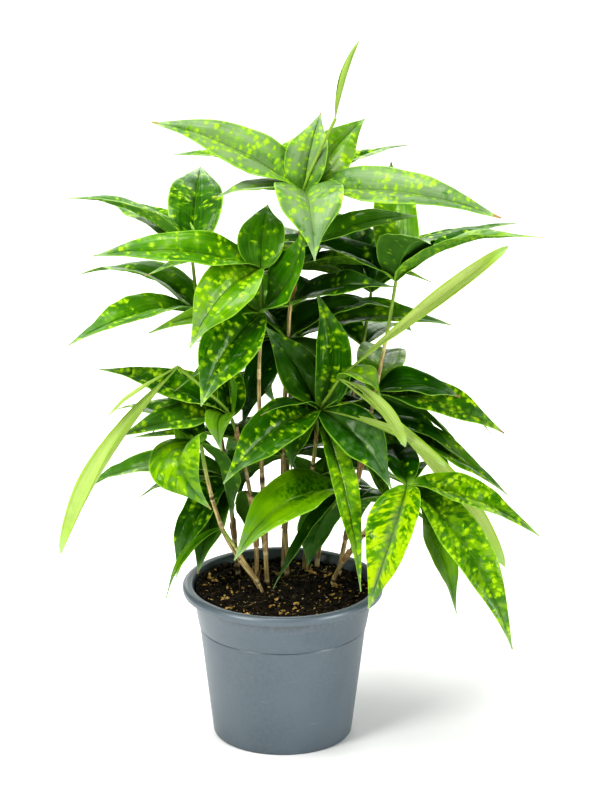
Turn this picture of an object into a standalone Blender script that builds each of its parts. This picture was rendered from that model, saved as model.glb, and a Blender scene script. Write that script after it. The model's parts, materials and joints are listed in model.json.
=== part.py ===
"""Potted gold dust dracaena: a nursery pot, its soil and ten leafy stems.

Units are metres and +Z is up. Lengths in the tables are millimetres and are scaled by MM.
The origin is the middle of the pot's base, on the surface that the pot stands on.
The plant's best side faces -Y, with +X to the right of someone who looks at it.
"""
import math
import random
from collections import namedtuple

import bmesh
import bpy
from mathutils import Matrix, Vector, noise
from mathutils.bvhtree import BVHTree

MM = 0.001

# Pot, in millimetres
RIM_RADIUS = 60.0
POT_HEIGHT = 95.0
LIP_DEPTH = 5.5
LIP_OVERHANG = 6.2
GROOVE_HEIGHT = 69.0
GROOVE_RADIUS = 50.2
GROOVE_DEPTH = 0.5
BASE_RADIUS = 41.5
WALL = 1.3
FLOOR_TOP = 4.0
CHANNEL_HEIGHT = 2.4
CHANNEL_INNER = 15.0
CHANNEL_OUTER = 36.5
DRAIN_HOLES = 8
DRAIN_RADIUS = 3.6
DRAIN_CIRCLE = 26.0
POT_SEGMENTS = 32

# Soil, in millimetres
GAP = 0.35
SOIL_EDGE_HEIGHT = 89.0
SOIL_MOUND = 2.2
SOIL_LUMP = 1.5
SOIL_LUMP_SIZE = 9.0
SOIL_RINGS = (0.0, 12.0, 24.0, 35.0, 45.0)

# Stems and leaves, in millimetres and degrees
CANE_STEPS = 2
CANE_SIDES = 6
NODE_SWELLING = 1.3
BLADE_THICKNESS = 0.8
BLADE_ROWS = {"mature": 5, "ruled": 4, "inner": 3, "young": 5, "spear": 5}
BLADE_COLUMNS = 2
BLADE_BASE_HALF_WIDTH = 1.2
BLADE_TIP_HALF_WIDTH = 0.45
TWIST_END = 0.35
BLADE_SPARE = 0.7
FOOT_SHARE = 0.3
KEEP_OUT_RADIUS = 62.5
KEEP_OUT_HEIGHT = 97.0
LEAF_FLOOR = 4.0
GOLDEN_ANGLE = 137.5

Leaf = namedtuple("Leaf", "dx dy dz width arch roll sweep kind")
Shoot = namedtuple("Shoot", "path radii whorls")

# Outline powers toward base and tip, then the fold of the two halves at base and at tip
BLADE_KINDS = {
    "mature": (0.80, 1.15, 26.0, 9.0),
    "ruled": (0.80, 1.15, 26.0, 9.0),
    "inner": (0.80, 1.15, 26.0, 9.0),
    "young": (1.45, 0.50, 64.0, 22.0),
    "spear": (0.90, 0.70, 66.0, 66.0),
}


def leaf(dx, dy, dz, width, arch, roll=0.0, sweep=0.0, kind="mature"):
    """One leaf: its tip from its base, its width, and how far its midrib bows up and sideways."""
    return Leaf(dx, dy, dz, width, arch, roll, sweep, kind)


# Each stem is a few shoots, and a shoot's whorls hang on the points of its path by number.
# The first two points of a path that starts in the soil hold its straight buried foot.
STEMS = {
    "stem_left_low": [
        Shoot(
            [(-6, -1, 60), (-13.5, -2.5, 91), (-25, -4.5, 110), (-36, -6, 131), (-44, -9, 160),
             (-48.5, -12, 187)],
            (1.6, 1.15),
            {
                5: [
                    leaf(6, -38, -28, 40, 13, roll=38, sweep=-16),
                    leaf(18, 10, -51, 26, 6),
                    leaf(-52, 44, 8, 30, 8),
                ],
                3: [leaf(-34, -29, -33, 7.5, 9)],
            },
        ),
        Shoot(
            [(-6, -8, 60), (-12, -8.5, 91), (-23, -9.5, 112), (-36, -6, 131)],
            (1.1, 0.9),
            {},
        ),
    ],
    "stem_left_mid": [
        Shoot(
            [(-15, 6.5, 60), (-15.5, 6.5, 92), (-16.5, 5, 125), (-22, 0, 165), (-31, -8, 202),
             (-46, -14, 221), (-61, -20, 237)],
            (1.55, 0.95),
            {
                4: [
                    leaf(-65, -24, -4, 25, 4, roll=-20),
                    leaf(-77, 8, 27, 28, 5, roll=-20),
                    leaf(-7, -32, -12, 18, 8, sweep=-4),
                    leaf(-36, -10, 10, 14, 24),
                    leaf(-2, 22, 32, 20, 4, roll=20),
                    leaf(-45, 62, -6, 30, 8),
                ],
                6: [
                    leaf(-68, -30, -106, 23, 6, kind="young"),
                    leaf(-41, -16, -23, 5, 1, kind="young"),
                ],
            },
        ),
    ],
    "stem_front_tall": [
        Shoot(
            [(-9, 4.5, 60), (-9.5, 4.5, 92), (-12, 2, 150), (-14.3, -4, 220), (-12.8, -8, 266),
             (-13.3, -8, 293)],
            (1.55, 1.0),
            {
                5: [
                    leaf(-97, -12, 13, 31, 6, roll=-25),
                    leaf(-43, -40, -30, 34, 8, roll=-35),
                    leaf(4, 26, 33, 30, 5),
                ],
                4: [
                    leaf(25, -10, 59, 29, -6, roll=55),
                    leaf(-35, -38, -44, 36, 8, roll=-35),
                    leaf(-66, -10, -4, 14, 5, roll=-40),
                    leaf(-22, 66, 4, 30, 8),
                ],
            },
        ),
    ],
    "stem_centre": [
        Shoot(
            [(13, 31, 60), (13.3, 30, 92), (14.9, 26, 115), (17, 14, 155), (20, 4, 188),
             (21, 0, 203), (27, -5, 215), (32.4, -10, 226)],
            (1.7, 0.9),
            {
                5: [
                    leaf(-56, -48, -28, 32, 8, roll=-30),
                    leaf(42, -38, -35, 32, 8, roll=25),
                    leaf(25, -57, -92, 17, 10),
                    leaf(73, -48, -20, 10, 5, kind="young"),
                    leaf(48, -20, -62, 26, 5),
                    leaf(-3, 12, 72, 24, 6, sweep=-8),
                    leaf(-30, 14, 48, 28, 3, roll=-58),
                    leaf(-32, -24, 16, 14, 6),
                    leaf(-17, -14, -32, 26, 6),
                    leaf(48, 56, 4, 32, 8),
                ],
                7: [
                    leaf(26, -12, -7, 24, 7),
                    leaf(100, -14, -112, 17, 7, roll=38, kind="young"),
                    leaf(40, -28, -31, 11, 7, roll=20, kind="young"),
                    leaf(99, 20, 75, 12, 1, roll=50, kind="young"),
                ],
            },
        ),
        Shoot(
            [(14.9, 26, 115), (20, 14, 125), (29, 0, 142), (35.7, -8, 155.5)],
            (1.1, 0.85),
            {
                3: [
                    leaf(-65, -40, -28, 35, 14, roll=-24),
                    leaf(-41, -18, -55, 14, 4),
                    leaf(-21, 4, -51, 30, 4, roll=50),
                    leaf(-40, 8, -36, 16, 6),
                ],
            },
        ),
    ],
    "stem_right_low": [
        Shoot(
            [(28, 8, 60), (30, 6, 92), (40, -4, 116), (54, -19, 142), (65, -29, 158),
             (72.4, -35, 169)],
            (1.5, 1.05),
            {
                5: [
                    leaf(-24, -37, -63, 34, 12, sweep=8),
                    leaf(77, -14, -26, 27, 7, roll=16),
                    leaf(61, -40, -87, 28, 12, roll=32),
                    leaf(30, -2, -80, 30, 4, roll=32),
                    leaf(-18, 60, -4, 24, 7),
                    leaf(8, 62, -16, 26, 10),
                ],
            },
        ),
    ],
    "stem_tall": [
        Shoot(
            [(3, 17, 60), (2.5, 17, 92), (0, 14, 170), (3, 12, 244), (4, 11, 264), (9, 7, 299),
             (11.5, 5, 335), (20, 7, 358), (30, 9, 379)],
            (1.75, 0.9),
            {
                6: [
                    leaf(-88, 20, 39, 35, 6, roll=-28),
                    leaf(114, -30, -4, 34, 7, roll=24),
                    leaf(6, -63, -21, 43, 14),
                    leaf(10, 25, 42, 28, 3),
                    leaf(37, 45, 33, 28, 3, roll=43),
                    leaf(-51, -18, 12, 22, 3),
                    leaf(24, 74, 8, 32, 8),
                ],
                8: [leaf(13, 6, 45, 12, 1, kind="spear")],
                5: [leaf(69, 2, 22, 22, 5, roll=25)],
                4: [leaf(65, -16, 11, 24, 6, roll=25), leaf(-56, 46, 16, 30, 8)],
            },
        ),
    ],
    "stem_right": [
        Shoot(
            [(32, 24, 60), (34, 23, 92), (42, 14, 140), (50, 4, 190), (54, 0, 213), (61, 5, 250),
             (66, 10, 280)],
            (1.55, 0.95),
            {4: [leaf(76, -12, -20, 30, 7, roll=25), leaf(49, -4, -8, 26, 7, roll=20)]},
        ),
    ],
    "stem_back": [
        Shoot(
            [(0, 34, 60), (0.5, 35, 92), (3, 40, 160), (6, 47, 230), (9, 52, 275), (12, 54, 315)],
            (1.6, 0.95),
            {},
        ),
    ],
    "stem_back_left": [
        Shoot(
            [(-26, 20, 60), (-27, 21, 92), (-33, 27, 150), (-42, 35, 205), (-50, 41, 250),
             (-54, 44, 285)],
            (1.55, 0.95),
            {},
        ),
    ],
    "stem_back_right": [
        Shoot(
            [(20, 38, 60), (21, 40, 92), (30, 49, 140), (41, 58, 185), (48, 63, 222), (53, 66, 255)],
            (1.5, 0.95),
            {},
        ),
    ],
}

# Further leaves that follow a rule: path point, number of leaves, mean rise in degrees, and
# the sector of headings that they share, in degrees from +X
ALL_ROUND = (0.0, 360.0)
REAR = (-15.0, 195.0)
RULED_WHORLS = {
    "stem_tall": [(3, 3, -5.0, REAR), (2, 3, -15.0, REAR)],
    "stem_front_tall": [(3, 2, -10.0, REAR), (2, 2, -25.0, REAR)],
    "stem_centre": [(3, 3, -20.0, REAR)],
    "stem_left_mid": [(3, 2, -25.0, REAR)],
    "stem_right_low": [(4, 2, -5.0, REAR)],
    "stem_right": [(6, 5, 20.0, ALL_ROUND), (4, 2, -15.0, REAR), (3, 2, -20.0, ALL_ROUND)],
    "stem_back": [(5, 5, 22.0, ALL_ROUND), (4, 3, 0.0, ALL_ROUND), (3, 3, -15.0, ALL_ROUND),
                  (2, 3, -20.0, ALL_ROUND)],
    "stem_back_left": [(5, 5, 20.0, ALL_ROUND), (4, 3, -2.0, ALL_ROUND), (3, 3, -20.0, ALL_ROUND),
                       (2, 3, -20.0, ALL_ROUND)],
    "stem_back_right": [(5, 5, 20.0, ALL_ROUND), (4, 3, -5.0, ALL_ROUND), (3, 3, -20.0, ALL_ROUND)],
}
RULE_SEED = 41
RULED_LENGTH = (70.0, 98.0)
RULED_WIDTH = (27.0, 36.0)
RULED_ARCH = (0.06, 0.14)
RULED_JITTER = 13.0
CROWN_AXIS = (10.0, 10.0)
OUTWARD_PULL = 0.45

# Shorter hanging leaves inside the crown, placed last, where the others have left room
INNER_WHORLS = {
    "stem_back": [(3, 3, -38.0, ALL_ROUND), (2, 3, -30.0, ALL_ROUND), (4, 3, -25.0, ALL_ROUND)],
    "stem_tall": [(3, 3, -35.0, REAR), (2, 2, -35.0, REAR), (4, 3, -20.0, REAR)],
    "stem_back_left": [(3, 3, -38.0, ALL_ROUND), (2, 3, -25.0, ALL_ROUND)],
    "stem_back_right": [(3, 3, -35.0, ALL_ROUND), (2, 3, -25.0, ALL_ROUND)],
    "stem_front_tall": [(3, 2, -40.0, REAR), (2, 3, -30.0, REAR)],
    "stem_right": [(3, 3, -40.0, ALL_ROUND), (2, 2, -25.0, REAR), (4, 2, -30.0, REAR)],
    "stem_left_mid": [(3, 2, -35.0, REAR)],
    "stem_centre": [(3, 2, -30.0, REAR), (5, 2, -15.0, REAR)],
}
INNER_SEED = 19
INNER_LENGTH = (50.0, 76.0)
INNER_WIDTH = (22.0, 30.0)


def clear_scene():
    for obj in list(bpy.data.objects):
        bpy.data.objects.remove(obj, do_unlink=True)


def principled(name, colour, roughness, metallic=0.0):
    material = bpy.data.materials.new(name)
    material.use_nodes = True
    shader = material.node_tree.nodes["Principled BSDF"]
    shader.inputs["Base Color"].default_value = (*colour, 1.0)
    shader.inputs["Roughness"].default_value = roughness
    shader.inputs["Metallic"].default_value = metallic
    return material


def link_object(name, mesh, collection=None):
    obj = bpy.data.objects.new(name, mesh)
    (collection or bpy.context.scene.collection).objects.link(obj)
    return obj


def mesh_from(bm, name):
    mesh = bpy.data.meshes.new(name)
    bm.to_mesh(mesh)
    bm.free()
    return mesh


def apply_boolean(obj, collection, operation, solver):
    """Joins or cuts obj with every object of the collection, then removes those objects."""
    modifier = obj.modifiers.new(operation.lower(), "BOOLEAN")
    modifier.operand_type = "COLLECTION"
    modifier.collection = collection
    modifier.operation = operation
    modifier.solver = solver
    depsgraph = bpy.context.evaluated_depsgraph_get()
    result = bpy.data.meshes.new_from_object(obj.evaluated_get(depsgraph))
    obj.modifiers.clear()
    obj.data = result
    for part in list(collection.objects):
        bpy.data.objects.remove(part, do_unlink=True)
    bpy.data.collections.remove(collection)


def keep_one_body(mesh):
    """Fills hollows that a union has sealed and drops loose scraps, so that one body is left."""
    bm = bmesh.new()
    bm.from_mesh(mesh)
    bm.verts.ensure_lookup_table()
    unseen = set(bm.verts)
    islands = []
    while unseen:
        front = [unseen.pop()]
        island = set(front)
        while front:
            vert = front.pop()
            for edge in vert.link_edges:
                other = edge.other_vert(vert)
                if other in unseen:
                    unseen.discard(other)
                    island.add(other)
                    front.append(other)
        islands.append(island)
    largest = max(islands, key=len)
    bmesh.ops.delete(bm, geom=[vert for vert in bm.verts if vert not in largest], context="VERTS")
    bm.to_mesh(mesh)
    bm.free()


def temporary_collection(name):
    collection = bpy.data.collections.new(name)
    bpy.context.scene.collection.children.link(collection)
    return collection


def spun(profile, name):
    """A closed body turned about Z from a profile in millimetres that starts and ends on the axis."""
    bm = bmesh.new()
    verts = [bm.verts.new((radius * MM, 0.0, height * MM)) for radius, height in profile]
    edges = [bm.edges.new(pair) for pair in zip(verts, verts[1:])]
    bmesh.ops.spin(
        bm,
        geom=verts + edges,
        cent=(0, 0, 0),
        axis=(0, 0, 1),
        angle=math.tau,
        steps=POT_SEGMENTS,
        use_merge=True,
    )
    bmesh.ops.remove_doubles(bm, verts=bm.verts, dist=0.00001)
    bmesh.ops.recalc_face_normals(bm, faces=bm.faces)
    if bm.calc_volume(signed=True) < 0:
        bmesh.ops.reverse_faces(bm, faces=bm.faces)
    return mesh_from(bm, name)


def pot_profiles():
    """The pot's outer line from the base up over the lip, and its inner line down to the floor."""
    under_lip = POT_HEIGHT - LIP_DEPTH
    neck = RIM_RADIUS - LIP_OVERHANG
    outer = [
        (0.0, 0.0),
        (CHANNEL_INNER - CHANNEL_HEIGHT, 0.0),
        (CHANNEL_INNER, CHANNEL_HEIGHT),
        (CHANNEL_OUTER, CHANNEL_HEIGHT),
        (CHANNEL_OUTER + CHANNEL_HEIGHT * 0.6, 0.0),
        (BASE_RADIUS - 1.0, 0.0),
        (BASE_RADIUS, 1.4),
        (GROOVE_RADIUS - GROOVE_DEPTH, GROOVE_HEIGHT - 0.5),
        (GROOVE_RADIUS, GROOVE_HEIGHT),
        (neck, under_lip + 1.0),
        (RIM_RADIUS - 2.2, under_lip + 1.0),
        (RIM_RADIUS - 1.8, under_lip),
        (RIM_RADIUS - 0.3, under_lip + 0.4),
        (RIM_RADIUS, POT_HEIGHT - 2.2),
        (RIM_RADIUS - 0.7, POT_HEIGHT - 0.7),
        (RIM_RADIUS - 2.4, POT_HEIGHT),
    ]
    inner = [
        (neck + 0.8, POT_HEIGHT - 0.5),
        (neck - WALL + 0.6, POT_HEIGHT - 2.6),
        (neck - WALL, under_lip),
        (GROOVE_RADIUS - WALL, GROOVE_HEIGHT),
        (BASE_RADIUS - WALL + 0.3, FLOOR_TOP),
        (0.0, FLOOR_TOP),
    ]
    return outer, inner


def make_pot(material):
    outer, inner = pot_profiles()
    pot = link_object("pot", spun(outer + inner, "pot"))
    holes = temporary_collection("drain holes")
    for index in range(DRAIN_HOLES):
        bm = bmesh.new()
        bmesh.ops.create_cone(
            bm,
            cap_ends=True,
            segments=8,
            radius1=DRAIN_RADIUS * MM,
            radius2=DRAIN_RADIUS * MM,
            depth=3 * FLOOR_TOP * MM,
        )
        turn = Matrix.Rotation(math.tau * (index + 0.5) / DRAIN_HOLES, 4, "Z")
        outward = Matrix.Translation((DRAIN_CIRCLE * MM, 0, 0))
        bmesh.ops.transform(bm, matrix=turn @ outward, verts=bm.verts)
        link_object(f"drain_cutter_{index}", mesh_from(bm, "drain cutter"), holes)
    apply_boolean(pot, holes, "DIFFERENCE", "EXACT")
    pot.data.shade_smooth()
    pot.data.set_sharp_from_angle(angle=math.radians(35))
    pot.data.materials.clear()
    pot.data.materials.append(material)
    return pot


def inner_radius(height):
    """The pot's inside radius at a height, in millimetres."""
    line = pot_profiles()[1][2:5]
    for (upper_radius, upper), (lower_radius, lower) in zip(line, line[1:]):
        if lower <= height <= upper:
            share = (height - lower) / (upper - lower)
            return lower_radius + share * (upper_radius - lower_radius)
    return line[0][0]


def soil_height(x, y):
    """The lumpy, slightly mounded surface of the soil, in millimetres."""
    reach = math.hypot(x, y) / inner_radius(SOIL_EDGE_HEIGHT)
    lump = noise.noise(Vector((x, y, 3.0)) / SOIL_LUMP_SIZE)
    return SOIL_EDGE_HEIGHT + SOIL_MOUND * (1 - reach * reach) + SOIL_LUMP * lump * (1.2 - 0.8 * reach)


def make_soil(material):
    edge = inner_radius(SOIL_EDGE_HEIGHT) - GAP
    floor = FLOOR_TOP + GAP
    groove = inner_radius(GROOVE_HEIGHT) - GAP
    top = [(radius, SOIL_EDGE_HEIGHT) for radius in SOIL_RINGS]
    side = [(edge, SOIL_EDGE_HEIGHT), (groove, GROOVE_HEIGHT), (inner_radius(floor) - GAP, floor)]
    side.append((0.0, floor))
    soil = link_object("soil", spun(top + side, "soil"))
    for vert in soil.data.vertices:
        if vert.co.z > (SOIL_EDGE_HEIGHT - 1) * MM:
            vert.co.z = soil_height(vert.co.x / MM, vert.co.y / MM) * MM
    holes = temporary_collection("stem holes")
    for name, shoots in STEMS.items():
        for number, shoot in enumerate(shoots):
            if shoot.path[0][2] < SOIL_EDGE_HEIGHT:
                cutter = stem_hole(shoot)
                link_object(f"{name}_cutter_{number}", cutter, holes)
    apply_boolean(soil, holes, "DIFFERENCE", "EXACT")
    soil.data.shade_smooth()
    soil.data.set_sharp_from_angle(angle=math.radians(50))
    soil.data.materials.clear()
    soil.data.materials.append(material)
    return soil


def stem_hole(shoot):
    """A plain straight hole around a shoot's buried foot, a little deeper than the foot."""
    foot, collar = (Vector(point) for point in shoot.path[:2])
    axis = (collar - foot).normalized()
    start = foot - axis * GAP * 2
    end = collar + axis * 6.0
    radius = shoot.radii[0] * 1.05 + GAP
    bm = bmesh.new()
    bmesh.ops.create_cone(
        bm,
        cap_ends=True,
        segments=10,
        radius1=radius * MM,
        radius2=radius * MM,
        depth=(end - start).length * MM,
    )
    place = Matrix.Translation((start + end) / 2 * MM) @ axis.to_track_quat("Z", "Y").to_matrix().to_4x4()
    bmesh.ops.transform(bm, matrix=place, verts=bm.verts)
    return mesh_from(bm, "stem cutter")


def smooth_path(path):
    """Points along a shoot: its first run stays straight, and the rest is a smooth curve."""
    points = [Vector(point) for point in path]
    tangents = [points[1] - points[0]]
    for before, after in zip(points, points[2:]):
        tangents.append((after - before) / 2)
    tangents.append(points[-1] - points[-2])
    run = [points[0]]
    for index in range(len(points) - 1):
        start, end = points[index], points[index + 1]
        steps = 1 if index == 0 else CANE_STEPS
        for step in range(1, steps + 1):
            share = step / steps
            if steps == 1:
                run.append(end)
                continue
            square, cube = share**2, share**3
            run.append(
                (2 * cube - 3 * square + 1) * start
                + (cube - 2 * square + share) * tangents[index]
                + (3 * square - 2 * cube) * end
                + (cube - square) * tangents[index + 1]
            )
    return run


def path_station(index):
    """The number of the smooth path's point where path point index lies."""
    return 0 if index == 0 else 1 + (index - 1) * CANE_STEPS


def cane_mesh(shoot):
    """A tapering tube along a shoot with a slight ring at each whorl."""
    run = smooth_path(shoot.path)
    curve = bpy.data.curves.new("cane", "CURVE")
    curve.dimensions = "3D"
    curve.bevel_depth = MM
    curve.bevel_resolution = (CANE_SIDES - 4) // 2
    curve.use_fill_caps = True
    spline = curve.splines.new("POLY")
    spline.points.add(len(run) - 1)
    swollen = {path_station(index) for index in shoot.whorls}
    for number, (point, place) in enumerate(zip(spline.points, run)):
        share = number / (len(run) - 1)
        radius = shoot.radii[0] + share * (shoot.radii[1] - shoot.radii[0])
        point.co = (*(place * MM), 1.0)
        point.radius = radius * (NODE_SWELLING if number in swollen else 1.0)
    obj = link_object("cane", curve)
    depsgraph = bpy.context.evaluated_depsgraph_get()
    mesh = bpy.data.meshes.new_from_object(obj.evaluated_get(depsgraph))
    bpy.data.objects.remove(obj, do_unlink=True)
    bm = bmesh.new()
    bm.from_mesh(mesh)
    bmesh.ops.remove_doubles(bm, verts=bm.verts, dist=0.00001)
    bmesh.ops.triangulate(bm, faces=bm.faces)
    bmesh.ops.recalc_face_normals(bm, faces=bm.faces)
    return mesh_from(bm, "cane")


def blade_frame(base, blade, along):
    """The midrib's point and the blade's sideways and upward directions at a share of its length."""
    tip = Vector((blade.dx, blade.dy, blade.dz))
    heading = Vector((blade.dx, blade.dy, 0.0)).normalized()
    side = Vector((0, 0, 1)).cross(heading)
    upward = tip.normalized().cross(side)
    bend = tip * 0.45 + upward * 2 * blade.arch + side * 2 * blade.sweep
    point = base + 2 * along * (1 - along) * bend + along * along * tip
    tangent = (2 * (1 - 2 * along) * bend + 2 * along * tip).normalized()
    side = (side - side.dot(tangent) * tangent).normalized()
    turned = Matrix.Rotation(math.radians(blade.roll) * min(1.0, along / TWIST_END), 3, tangent)
    side = turned @ side
    return point, side, tangent.cross(side)


def blade_point(base, blade, along, across, spare=0.0):
    """A point of the blade: along its midrib from 0 to 1, and across it from -1 to 1."""
    toward_base, toward_tip, fold_base, fold_tip = BLADE_KINDS[blade.kind]
    widest = toward_base / (toward_base + toward_tip)
    fullest = widest**toward_base * (1 - widest) ** toward_tip
    outline = along**toward_base * (1 - along) ** toward_tip / fullest
    least = BLADE_BASE_HALF_WIDTH * (1 - along) + BLADE_TIP_HALF_WIDTH * along
    half = max(least, blade.width / 2 * outline) + spare
    fold = math.radians(fold_base + (fold_tip - fold_base) * along)
    point, side, upward = blade_frame(base, blade, along)
    return point + side * (across * half * math.cos(fold)) + upward * (abs(across) * half * math.sin(fold))


def blade_mesh(base, blade, thickness=BLADE_THICKNESS, spare=0.0, first=0.0):
    """A closed thin blade from share first of its length, split into triangles alike on both faces."""
    bm = bmesh.new()
    bmesh.ops.create_grid(bm, x_segments=BLADE_COLUMNS, y_segments=BLADE_ROWS[blade.kind], size=1.0)
    for vert in bm.verts:
        along = first + (1 - first) * (vert.co.y + 1) / 2
        vert.co = blade_point(base, blade, along, vert.co.x, spare) * MM
    bmesh.ops.triangulate(bm, faces=bm.faces)
    bm.normal_update()
    for vert in bm.verts:
        vert.co -= vert.normal * thickness / 2 * MM
    bmesh.ops.solidify(bm, geom=bm.faces[:], thickness=-thickness * MM)
    bmesh.ops.recalc_face_normals(bm, faces=bm.faces)
    if bm.calc_volume(signed=True) < 0:
        bmesh.ops.reverse_faces(bm, faces=bm.faces)
    return bm


def bends():
    """Turns in degrees and lifts in millimetres of a leaf's tip, the smallest first."""
    yield 0.0, 0.0
    for size in range(1, 11):
        for turn, lift in ((0, 1), (0, -1), (1, 0), (-1, 0), (1, 1), (-1, 1), (1, -1), (-1, -1)):
            yield turn * size * 3.0, lift * size * 3.5


def bent(blade, turn, lift):
    """The blade with its tip turned about its base and lifted, at about its old length."""
    tip = Matrix.Rotation(math.radians(turn), 3, "Z") @ Vector((blade.dx, blade.dy, blade.dz))
    tip.z += lift
    tip *= Vector((blade.dx, blade.dy, blade.dz)).length / tip.length
    return blade._replace(dx=tip.x, dy=tip.y, dz=tip.z)


def stands_free(base, blade, neighbours, siblings):
    """Whether the blade, made a little wider and thicker, clears the pot and soil, the other stems,
    and past its own foot also its own stem."""
    bm = blade_mesh(base, blade, 3 * BLADE_THICKNESS, BLADE_SPARE)
    for vert in bm.verts:
        place = vert.co / MM
        low = place.z < KEEP_OUT_HEIGHT and math.hypot(place.x, place.y) < KEEP_OUT_RADIUS
        if low or place.z < LEAF_FLOOR:
            bm.free()
            return False
    whole = BVHTree.FromBMesh(bm)
    bm.free()
    if any(whole.overlap(other) for other in neighbours):
        return False
    bm = blade_mesh(base, blade, BLADE_THICKNESS, 0.0, FOOT_SHARE)
    outer = BVHTree.FromBMesh(bm)
    bm.free()
    return not any(outer.overlap(other) for other in siblings)


def ruled_whorls(rule, rng, lengths, widths, kind):
    """Leaves that a rule hangs on the stems: golden-angle headings, drawn outward from the crown."""
    whorls = []
    for name, entries in rule.items():
        path = STEMS[name][0].path
        start = rng.uniform(*ALL_ROUND)
        for order, (index, count, rise, sector) in enumerate(entries):
            base = Vector(path[index])
            outward = (base.to_2d() - Vector(CROWN_AXIS)).normalized()
            step = (sector[1] - sector[0]) / count
            turn = start + order * GOLDEN_ANGLE if sector == ALL_ROUND else sector[0] + step / 2
            for number in range(count):
                heading = math.radians(turn + number * step + rng.uniform(-1, 1) * RULED_JITTER)
                pull = outward * OUTWARD_PULL
                way = (Vector((math.cos(heading), math.sin(heading))) + pull).normalized()
                length = rng.uniform(*lengths)
                lift = math.radians(rise + rng.uniform(-1, 1) * RULED_JITTER)
                blade = leaf(
                    way.x * math.cos(lift) * length,
                    way.y * math.cos(lift) * length,
                    math.sin(lift) * length,
                    rng.uniform(*widths),
                    rng.uniform(*RULED_ARCH) * length,
                    roll=rng.uniform(-1, 1) * RULED_JITTER,
                    kind=kind,
                )
                whorls.append((name, base, blade))
    return whorls


def leaf_table():
    """Every leaf as (stem, base point, blade), the ones placed by hand first."""
    table = []
    for name, shoots in STEMS.items():
        for shoot in shoots:
            for index, leaves in shoot.whorls.items():
                table += [(name, Vector(shoot.path[index]), blade) for blade in leaves]
    table += ruled_whorls(RULED_WHORLS, random.Random(RULE_SEED), RULED_LENGTH, RULED_WIDTH, "ruled")
    table += ruled_whorls(INNER_WHORLS, random.Random(INNER_SEED), INNER_LENGTH, INNER_WIDTH, "inner")
    return table


def placed_leaves(canes):
    """Bends each leaf clear of what the other stems already hold, and leaves out one that can't be."""
    held = {}
    for name, meshes in canes.items():
        held[name] = [BVHTree.FromPolygons(*polygons(mesh)) for mesh in meshes]
    placed = {name: [] for name in STEMS}
    for name, base, blade in leaf_table():
        neighbours = [tree for other, trees in held.items() if other != name for tree in trees]
        for turn, lift in bends():
            candidate = bent(blade, turn, lift)
            if stands_free(base, candidate, neighbours, held[name]):
                break
        else:
            continue
        bm = blade_mesh(base, candidate)
        held[name].append(BVHTree.FromBMesh(bm))
        placed[name].append(mesh_from(bm, "blade"))
    print(sum(len(blades) for blades in placed.values()), "leaves stand free of each other")
    return placed


def polygons(mesh):
    return [vert.co for vert in mesh.vertices], [face.vertices for face in mesh.polygons]


def make_stems(material):
    canes = {name: [cane_mesh(shoot) for shoot in shoots] for name, shoots in STEMS.items()}
    blades = placed_leaves(canes)
    for name in STEMS:
        stem = link_object(name, canes[name][0])
        pieces = temporary_collection(f"{name} pieces")
        for number, mesh in enumerate(canes[name][1:] + blades[name]):
            link_object(f"{name}_piece_{number}", mesh, pieces)
        apply_boolean(stem, pieces, "UNION", "MANIFOLD")
        keep_one_body(stem.data)
        stem.data.shade_smooth()
        stem.data.set_sharp_from_angle(angle=math.radians(40))
        stem.data.materials.clear()
        stem.data.materials.append(material)


def main():
    clear_scene()
    make_pot(principled("pot plastic", (0.16, 0.20, 0.25), 0.45))
    make_soil(principled("soil", (0.035, 0.02, 0.01), 0.95))
    make_stems(principled("gold dust leaf", (0.10, 0.30, 0.02), 0.35))


main()
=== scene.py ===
# %% [markdown]
# # Potted gold dust dracaena
# A gold dust dracaena is a bushy house plant: thin woody canes with rings where old leaves sat,
# and glossy pointed leaves in whorls, dusted with yellow spots. This one stands in the soil of a
# round blue-grey nursery pot. The imported model has the right sizes and places for all of it, so the
# first step loads that model.

import json
import random
from collections import namedtuple
from functools import partialmethod
from math import copysign, cos, exp, hypot, pi, radians, sin, sqrt, tau

import bmesh
import bpy
from mathutils import Matrix, Vector, noise
from mathutils.kdtree import KDTree

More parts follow.
